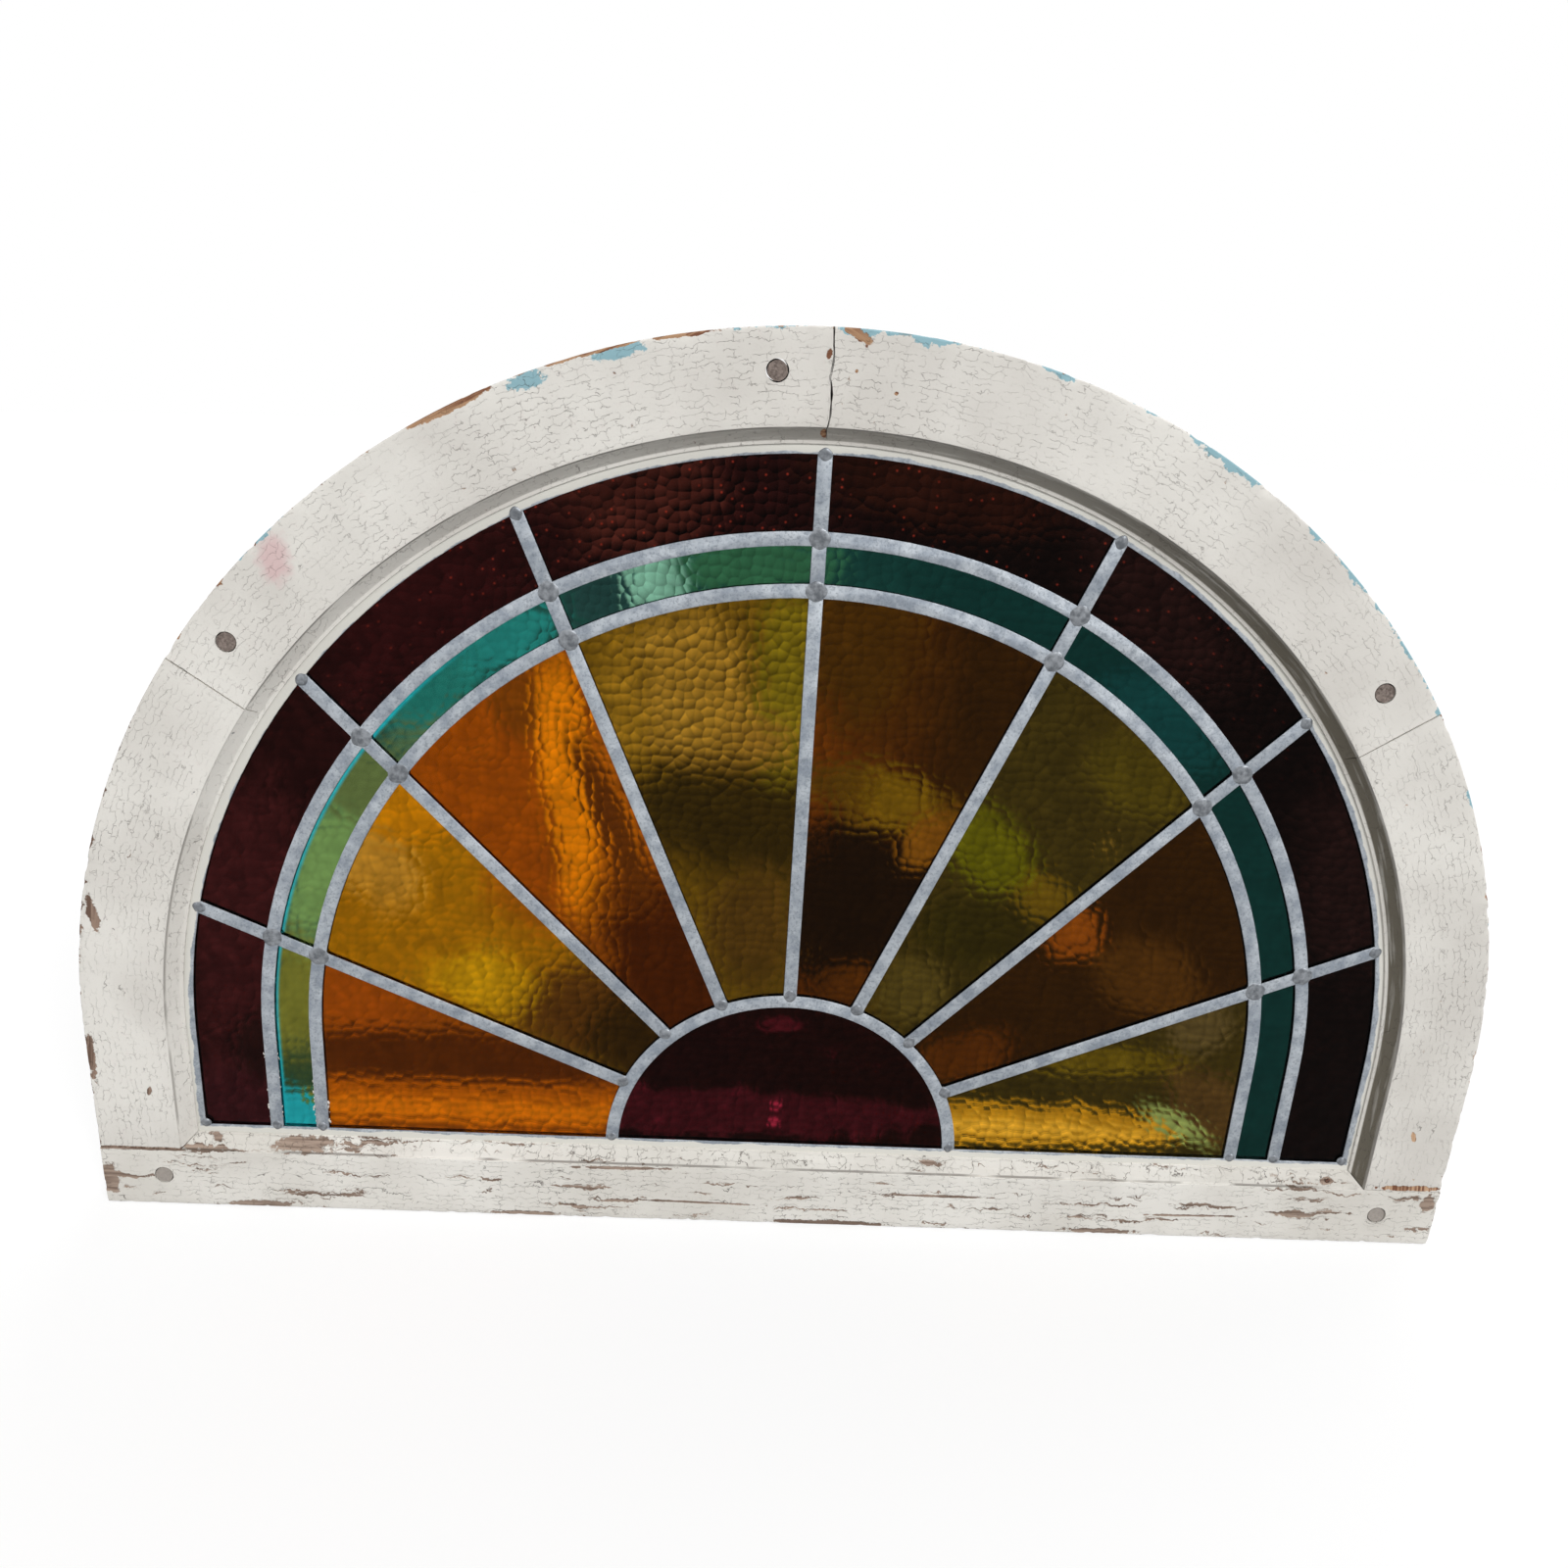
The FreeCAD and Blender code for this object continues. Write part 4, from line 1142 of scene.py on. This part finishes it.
def make_solder():
    """Flattened dabs of solder with lips run out along the cames, modelled once and copied."""
    bpy.ops.object.select_all(action="DESELECT")
    bpy.ops.mesh.primitive_uv_sphere_add(segments=24, ring_count=12, radius=1.0,
                                         rotation=(math.radians(90), 0, 0))
    bpy.ops.object.transform_apply(location=True, rotation=True, scale=True)
    dab = bpy.context.object
    for vertex in dab.data.vertices:
        turn = math.atan2(vertex.co.z, vertex.co.x)
        lobe = 1.0 + 0.035 * math.cos(4 * turn)
        vertex.co.x *= lobe
        vertex.co.z *= lobe
    dents = noise_texture("solder_dents", "CLOUDS", 4 * MM, noise_depth=2)
    copies = []
    for number, (x, z, angle, half) in enumerate(solder_places()):
        swell = 1.0 + 0.06 * math.sin(number * 2.4)
        turn = Matrix.Rotation(-angle, 4, "Y")
        size = Matrix.Diagonal((half * swell, DAB_HEIGHT, half / swell, 1.0))
        for depth in (PANEL_FRONT + DAB_SUNK, PANEL_BACK - DAB_SUNK):
            copies.append(duplicate(dab, Matrix.Translation((x, depth, z)) @ turn @ size))
    bpy.data.objects.remove(dab)
    whole = joined("solder_dabs", copies)
    apply_modifier(whole, "DISPLACE", texture=dents, texture_coords="LOCAL", strength=DAB_DENT)
    finish_piece(whole, tarnished_solder(), "solder", "solder_joints")


# Runs of old paint crumbs beside the cames as x, lowest z, highest z in mm and how many
CRUMB_RUNS = [(-374.5, 70, 138, 20), (-383.5, 70, 130, 9), (-350, 70, 106, 16), (-340, 69, 92, 14)]
CRUMB_SEED = 11
CRUMB_RADIUS = 0.65 * MM
CRUMB_SUNK = 0.5 * MM
CRUMB_DENT = 0.6 * MM


def make_crumbs():
    """Crumbs of white paint left on the cames, modelled once, flattened and scattered."""
    bpy.ops.object.select_all(action="DESELECT")
    bpy.ops.mesh.primitive_ico_sphere_add(subdivisions=2, radius=CRUMB_RADIUS)
    crumb = bpy.context.object
    edit(crumb)
    bpy.ops.transform.resize(value=(0.7, 0.5, 1.3))
    close()
    draw = random.Random(CRUMB_SEED)
    copies = []
    for x, low, high, count in CRUMB_RUNS:
        for _ in range(count):
            aside = draw.uniform(-0.9, 0.9)
            up = draw.uniform(low, high)
            size = Matrix.Diagonal((draw.uniform(0.6, 1.6), 1.0, draw.uniform(0.6, 2.0), 1.0))
            turn = Matrix.Rotation(draw.uniform(-0.6, 0.6), 4, "Y")
            place = Matrix.Translation(((x + aside) * MM, PANEL_FRONT + CRUMB_SUNK, up * MM))
            copies.append(duplicate(crumb, place @ turn @ size))
    bpy.data.objects.remove(crumb)
    whole = joined("paint_crumbs", copies)
    dents = noise_texture("crumb_dents", "CLOUDS", 1.2 * MM, noise_depth=2)
    apply_modifier(whole, "DISPLACE", texture=dents, texture_coords="LOCAL", strength=CRUMB_DENT)
    finish_piece(whole, chalky_crumbs(), "painted_putty")


# Streaks in the glass as x, z, half width, half height, turn, softness and colour; many of them
# are painted light and shade seen through the glass, painted highlights, painted reflections and
# painted glints
ORANGE_STREAKS_AND_PAINTED_LIGHT = [
    (-322, 178, 90, 44, -20, 0.5, "#8a3f03"),
    # Painted shade and painted light: the dark band and the bright band along the bottom
    (-234, 130, 260, 34, 0, 0.35, "#4a2002"),
    (-234, 88, 400, 31, 0, 0.14, "#984a02"),
    (-240, 84, 400, 14, 0, 0.5, "#bd6404"),
    (-215, 330, 90, 140, 10, 0.5, "#843c01"),
    (-195, 405, 26, 44, 10, 0.5, "#6a3402"),
    (-131, 290, 44, 140, 10, 0.5, "#9c5003"),
    (-162, 352, 27, 155, 6, 0.4, "#c26c02"),
    (-86, 208, 72, 130, 25, 0.5, "#3e1801"),
    (-131, 322, 17, 110, 23, 0.5, "#522602"),
    (28, 460, 68, 100, 5, 0.6, "#3e2402"),
    (44, 262, 120, 120, 0, 0.5, "#180b02"),
    (58, 345, 100, 32, -18, 0.5, "#4e3404"),
    (67, 347, 40, 30, -20, 0.5, "#664a06"),
    (92, 318, 28, 36, -35, 0.5, "#6e4208"),
    (45, 203, 36, 24, 0, 0.5, "#4a2503"),
    (262, 217, 66, 40, -20, 0.5, "#452806"),
    (201, 250, 32, 32, 0, 0.4, "#723806"),
    (133, 146, 60, 30, 20, 0.5, "#4a2403"),
]
GOLD_STREAKS_AND_PAINTED_LIGHT = [
    (-250, 255, 170, 170, 0, 0.5, "#946002"),
    (-297, 287, 40, 56, 30, 0.5, "#a87620"),
    (-271, 326, 56, 40, 0, 0.5, "#b06e02"),
    (-186, 263, 56, 44, -30, 0.5, "#8f5003"),
    (-218, 190, 66, 38, -20, 0.4, "#ac7e05"),
    (-142, 172, 90, 60, 10, 0.6, "#4e2d07"),
    (-114, 152, 56, 56, 0, 0.6, "#2c1b03"),
    (-122, 404, 30, 70, 10, 0.5, "#7c5a10"),
    (-15, 410, 36, 130, 0, 0.5, "#67570a"),
    (-59, 385, 70, 36, 0, 0.5, "#7c5918"),
    # Painted highlight: this bright patch
    (-77, 425, 56, 78, 10, 0.5, "#86621a"),
    (-48, 326, 140, 64, -8, 0.6, "#2c1f03"),
    (-31, 245, 46, 66, 0, 0.5, "#4a320a"),
    (232, 371, 56, 40, -30, 0.5, "#443808"),
    (127, 249, 66, 44, 0, 0.5, "#2b2304"),
    (177, 276, 44, 26, -35, 0.4, "#574208"),
    (133, 312, 54, 40, -45, 0.45, "#524e05"),
    (91, 200, 40, 40, 0, 0.5, "#4a3c12"),
    (306, 178, 40, 34, 0, 0.5, "#4e3f1e"),
    (231, 147, 100, 18, 0, 0.4, "#564508"),
    # Painted light: the bright band along the bottom
    (150, 88, 260, 31, 0, 0.14, "#a87612"),
    (160, 84, 250, 13, 0, 0.5, "#d09a28"),
    (326, 108, 36, 66, 50, 0.4, "#4a3414"),
    (300, 93, 50, 13, -32, 0.5, "#7f8a48"),
]
TEAL_STREAKS_AND_PAINTED_LIGHT = [
    (-362, 78, 44, 34, 0, 0.3, "#1f9aa0"),
    (-357, 118, 44, 34, -20, 0.4, "#2c4026"),
    (-349, 92, 12, 10, 0, 0.4, "#6a6a26"),
    (-357, 178, 44, 80, 0, 0.4, "#6a6a26"),
    (-327, 281, 50, 90, -15, 0.5, "#6a8a4c"),
    (-302, 347, 50, 50, -40, 0.5, "#556436"),
    (-258, 392, 50, 26, 45, 0.5, "#4c6440"),
    (-245, 418, 80, 32, 42, 0.5, "#1c665b"),
    (-198, 450, 50, 30, 32, 0.5, "#1d7068"),
    (-140, 480, 40, 34, 0, 0.4, "#1c3a36"),
    # Painted reflection: this pale patch
    (-104, 489, 34, 36, 10, 0.3, "#6fa088"),
    (-40, 503, 80, 34, 5, 0.5, "#285539"),
    (237, 411, 70, 50, -45, 0.6, "#0d3735"),
]
RUBY_STREAKS_AND_PAINTED_LIGHT = [
    (-400, 88, 70, 60, 0, 0.5, "#300f12"),
    (-395, 230, 60, 170, -10, 0.5, "#331010"),
    (-388, 132, 30, 44, 0, 0.5, "#1e0a08"),
    (-262, 467, 110, 60, 40, 0.5, "#260808"),
    # Painted reflection: this lighter patch
    (-117, 545, 76, 56, 15, 0.5, "#34140e"),
    (75, 560, 120, 40, -10, 0.5, "#210b05"),
    (225, 492, 110, 50, -45, 0.6, "#1a0a08"),
    (390, 300, 50, 110, 15, 0.6, "#1a0b09"),
]
SUN_STREAKS_AND_PAINTED_LIGHT = [
    # Painted light: the lighter band along the bottom of the sun
    (-60, 90, 260, 31, 0, 0.2, "#360b10"),
    # Painted glints: the two small bright red spots
    (-5, 98, 5.5, 5.5, 0, 0.6, "#8e2034"),
    (-6, 83, 6, 6, 0, 0.6, "#8e2034"),
    (-4, 167, 26, 10, 0, 0.4, "#3e0c12"),
]


def hammered(node, glass, slot):
    """Pane with a dimpled front, rolled on the real thing by a hammered roller."""
    piece = copy_of(node, "hammered_" + node)
    apply_modifier(piece, "REMESH", mode="VOXEL", voxel_size=PANE_STEP, use_smooth_shade=True)
    face = weights(piece, "front", lambda p: 1.0 if p.y < GLASS_FRONT + PANE_FRONT else 0.0)
    dimples = noise_texture("hammered_roller", "VORONOI", ROLLER_STEP,
                            distance_metric="DISTANCE_SQUARED")
    apply_modifier(piece, "DISPLACE", texture=dimples, texture_coords="LOCAL", direction="Y",
                   mid_level=1.0, strength=-ROLLER_DEPTH, vertex_group=face)
    finish_piece(piece, glass, slot, node)


def make_glass():
    """All panes of the panel, each colour with its own streaks and painted light and shade."""
    # The second colour of each glass is its darker right side: painted shade
    sun = cathedral_glass("ruby_purple_cathedral_glass", "#170504", "#170503", SUN_STREAKS_AND_PAINTED_LIGHT, 0.35,
                          lens=0.7)
    orange = cathedral_glass("orange_cathedral_glass", "#7a3a03", "#2a1602", ORANGE_STREAKS_AND_PAINTED_LIGHT, 0.2)
    gold = cathedral_glass("golden_cathedral_glass", "#5e4306", "#352a08", GOLD_STREAKS_AND_PAINTED_LIGHT, 0.26)
    teal = cathedral_glass("teal_cathedral_glass", "#1a453c", "#0a2b27", TEAL_STREAKS_AND_PAINTED_LIGHT, 0.12,
                           painted_edge_light="#1fa4ac")
    ruby = cathedral_glass("dark_ruby_cathedral_glass", "#1e0706", "#0b0403", RUBY_STREAKS_AND_PAINTED_LIGHT, 0.42,
                           painted_glint="#6a2014")
    hammered("sun_pane", sun, "sun_glass")
    for number in range(1, 9):
        odd = number % 2 == 1
        hammered("amber_pane_%d" % number, orange if odd else gold,
                 "orange_glass" if odd else "gold_glass")
        hammered("teal_pane_%d" % number, teal, "teal_glass")
        hammered("ruby_pane_%d" % number, ruby, "ruby_glass")


def make_putty():
    """Only a finish: the fillet keeps its own shape."""
    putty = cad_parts["back_putty"]
    putty.data.materials.clear()
    putty.data.materials.append(painted_putty())


# Studio
FLOOR_RADIUS = 8.0
FLOOR_DROP = 0.2 * MM
FLOOR_GLOW = 0.75
SKY_LIGHT = 0.4


def make_floor():
    """Pale floor that stays white to the eye and keeps the shadow."""
    material, tree = start_material("pale_studio_floor")
    glow = add(tree, "Math", {0: seen_directly(tree), 1: FLOOR_GLOW}, operation="MULTIPLY")
    lit = add(tree, "BsdfDiffuse", {"Color": linear("#8e8e8e")})
    pale = add(tree, "Emission", {"Color": (1, 1, 1, 1), "Strength": glow})
    both = add(tree, "AddShader", {0: lit, 1: pale})
    add(tree, "OutputMaterial", {"Surface": both})
    bpy.ops.object.select_all(action="DESELECT")
    bpy.ops.mesh.primitive_circle_add(vertices=64, radius=FLOOR_RADIUS, fill_type="NGON",
                                      location=(0, 0, -FLOOR_DROP))
    bpy.ops.object.transform_apply(location=True, rotation=True, scale=True)
    floor = bpy.context.object
    floor.name = "studio_floor"
    floor.data.materials.append(material)


def make_world():
    """White surroundings to the eye, a soft even light to the object."""
    world = bpy.data.worlds.new("white_studio")
    bpy.context.scene.world = world
    world.use_nodes = True
    tree = world.node_tree
    tree.nodes.clear()
    strength = add(tree, "MapRange", {
        "Value": seen_directly(tree), "To Min": SKY_LIGHT, "To Max": 1.0})
    sky = add(tree, "Background", {"Color": (1, 1, 1, 1), "Strength": strength})
    add(tree, "OutputWorld", {"Surface": sky})


def soft_lamp(name, place, strength, spread):
    """Distant soft light from a place, so that the floor is lit evenly; spread in degrees."""
    bpy.ops.object.light_add(type="SUN", location=place)
    lamp = bpy.context.object
    lamp.name = name
    lamp.data.energy = strength
    lamp.data.angle = math.radians(spread)
    lamp.rotation_euler = (-Vector(place)).to_track_quat("-Z", "Y").to_euler()


def make_lights():
    """Soft key from the upper right, a weaker fill from the left and one from behind."""
    soft_lamp("key_light", (1.3, -1.9, 1.55), 2.0, 24)
    soft_lamp("fill_light", (-1.7, -1.5, 1.1), 0.6, 60)
    soft_lamp("back_light", (0.9, 1.8, 1.6), 1.2, 60)


# Camera that took the view, solved from the rings, spokes and outline
CAMERA_PLACE = (-56.06 * MM, -801.59 * MM, 646.58 * MM)
CAMERA_TURN = (0.32857, 0.02723, -0.05134)
FOCAL_PIXELS = 1262.724
OPTICAL_CENTRE = (770.42, 771.19)
PICTURE = 1600
SENSOR = 36


def make_camera():
    """Viewpoint with the solved place, turn and lens."""
    tilt, yaw, roll = CAMERA_TURN
    turn = Matrix.Rotation(roll, 3, "Z") @ Matrix.Rotation(tilt, 3, "X")
    turn = turn @ Matrix.Rotation(yaw, 3, "Y")
    right, up, behind = [Vector((row[0], -row[2], row[1])) for row in turn]
    pose = Matrix((right, up, behind)).transposed().to_4x4()
    pose.translation = CAMERA_PLACE
    data = bpy.data.cameras.new("viewpoint")
    camera = bpy.data.objects.new("viewpoint", data)
    bpy.context.scene.collection.objects.link(camera)
    camera.matrix_world = pose
    data.sensor_width = SENSOR
    data.lens = FOCAL_PIXELS / PICTURE * SENSOR
    data.shift_x = (PICTURE / 2 - OPTICAL_CENTRE[0]) / PICTURE
    data.shift_y = (OPTICAL_CENTRE[1] - PICTURE / 2) / PICTURE
    data.clip_start = 0.01
    bpy.context.scene.camera = camera


make_camera()
make_world()
make_lights()
make_floor()
make_sash()
make_pegs()
make_nails()
make_lead()
make_solder()
make_crumbs()
make_glass()
make_putty()
bpy.context.scene.view_settings.view_transform = "Standard"
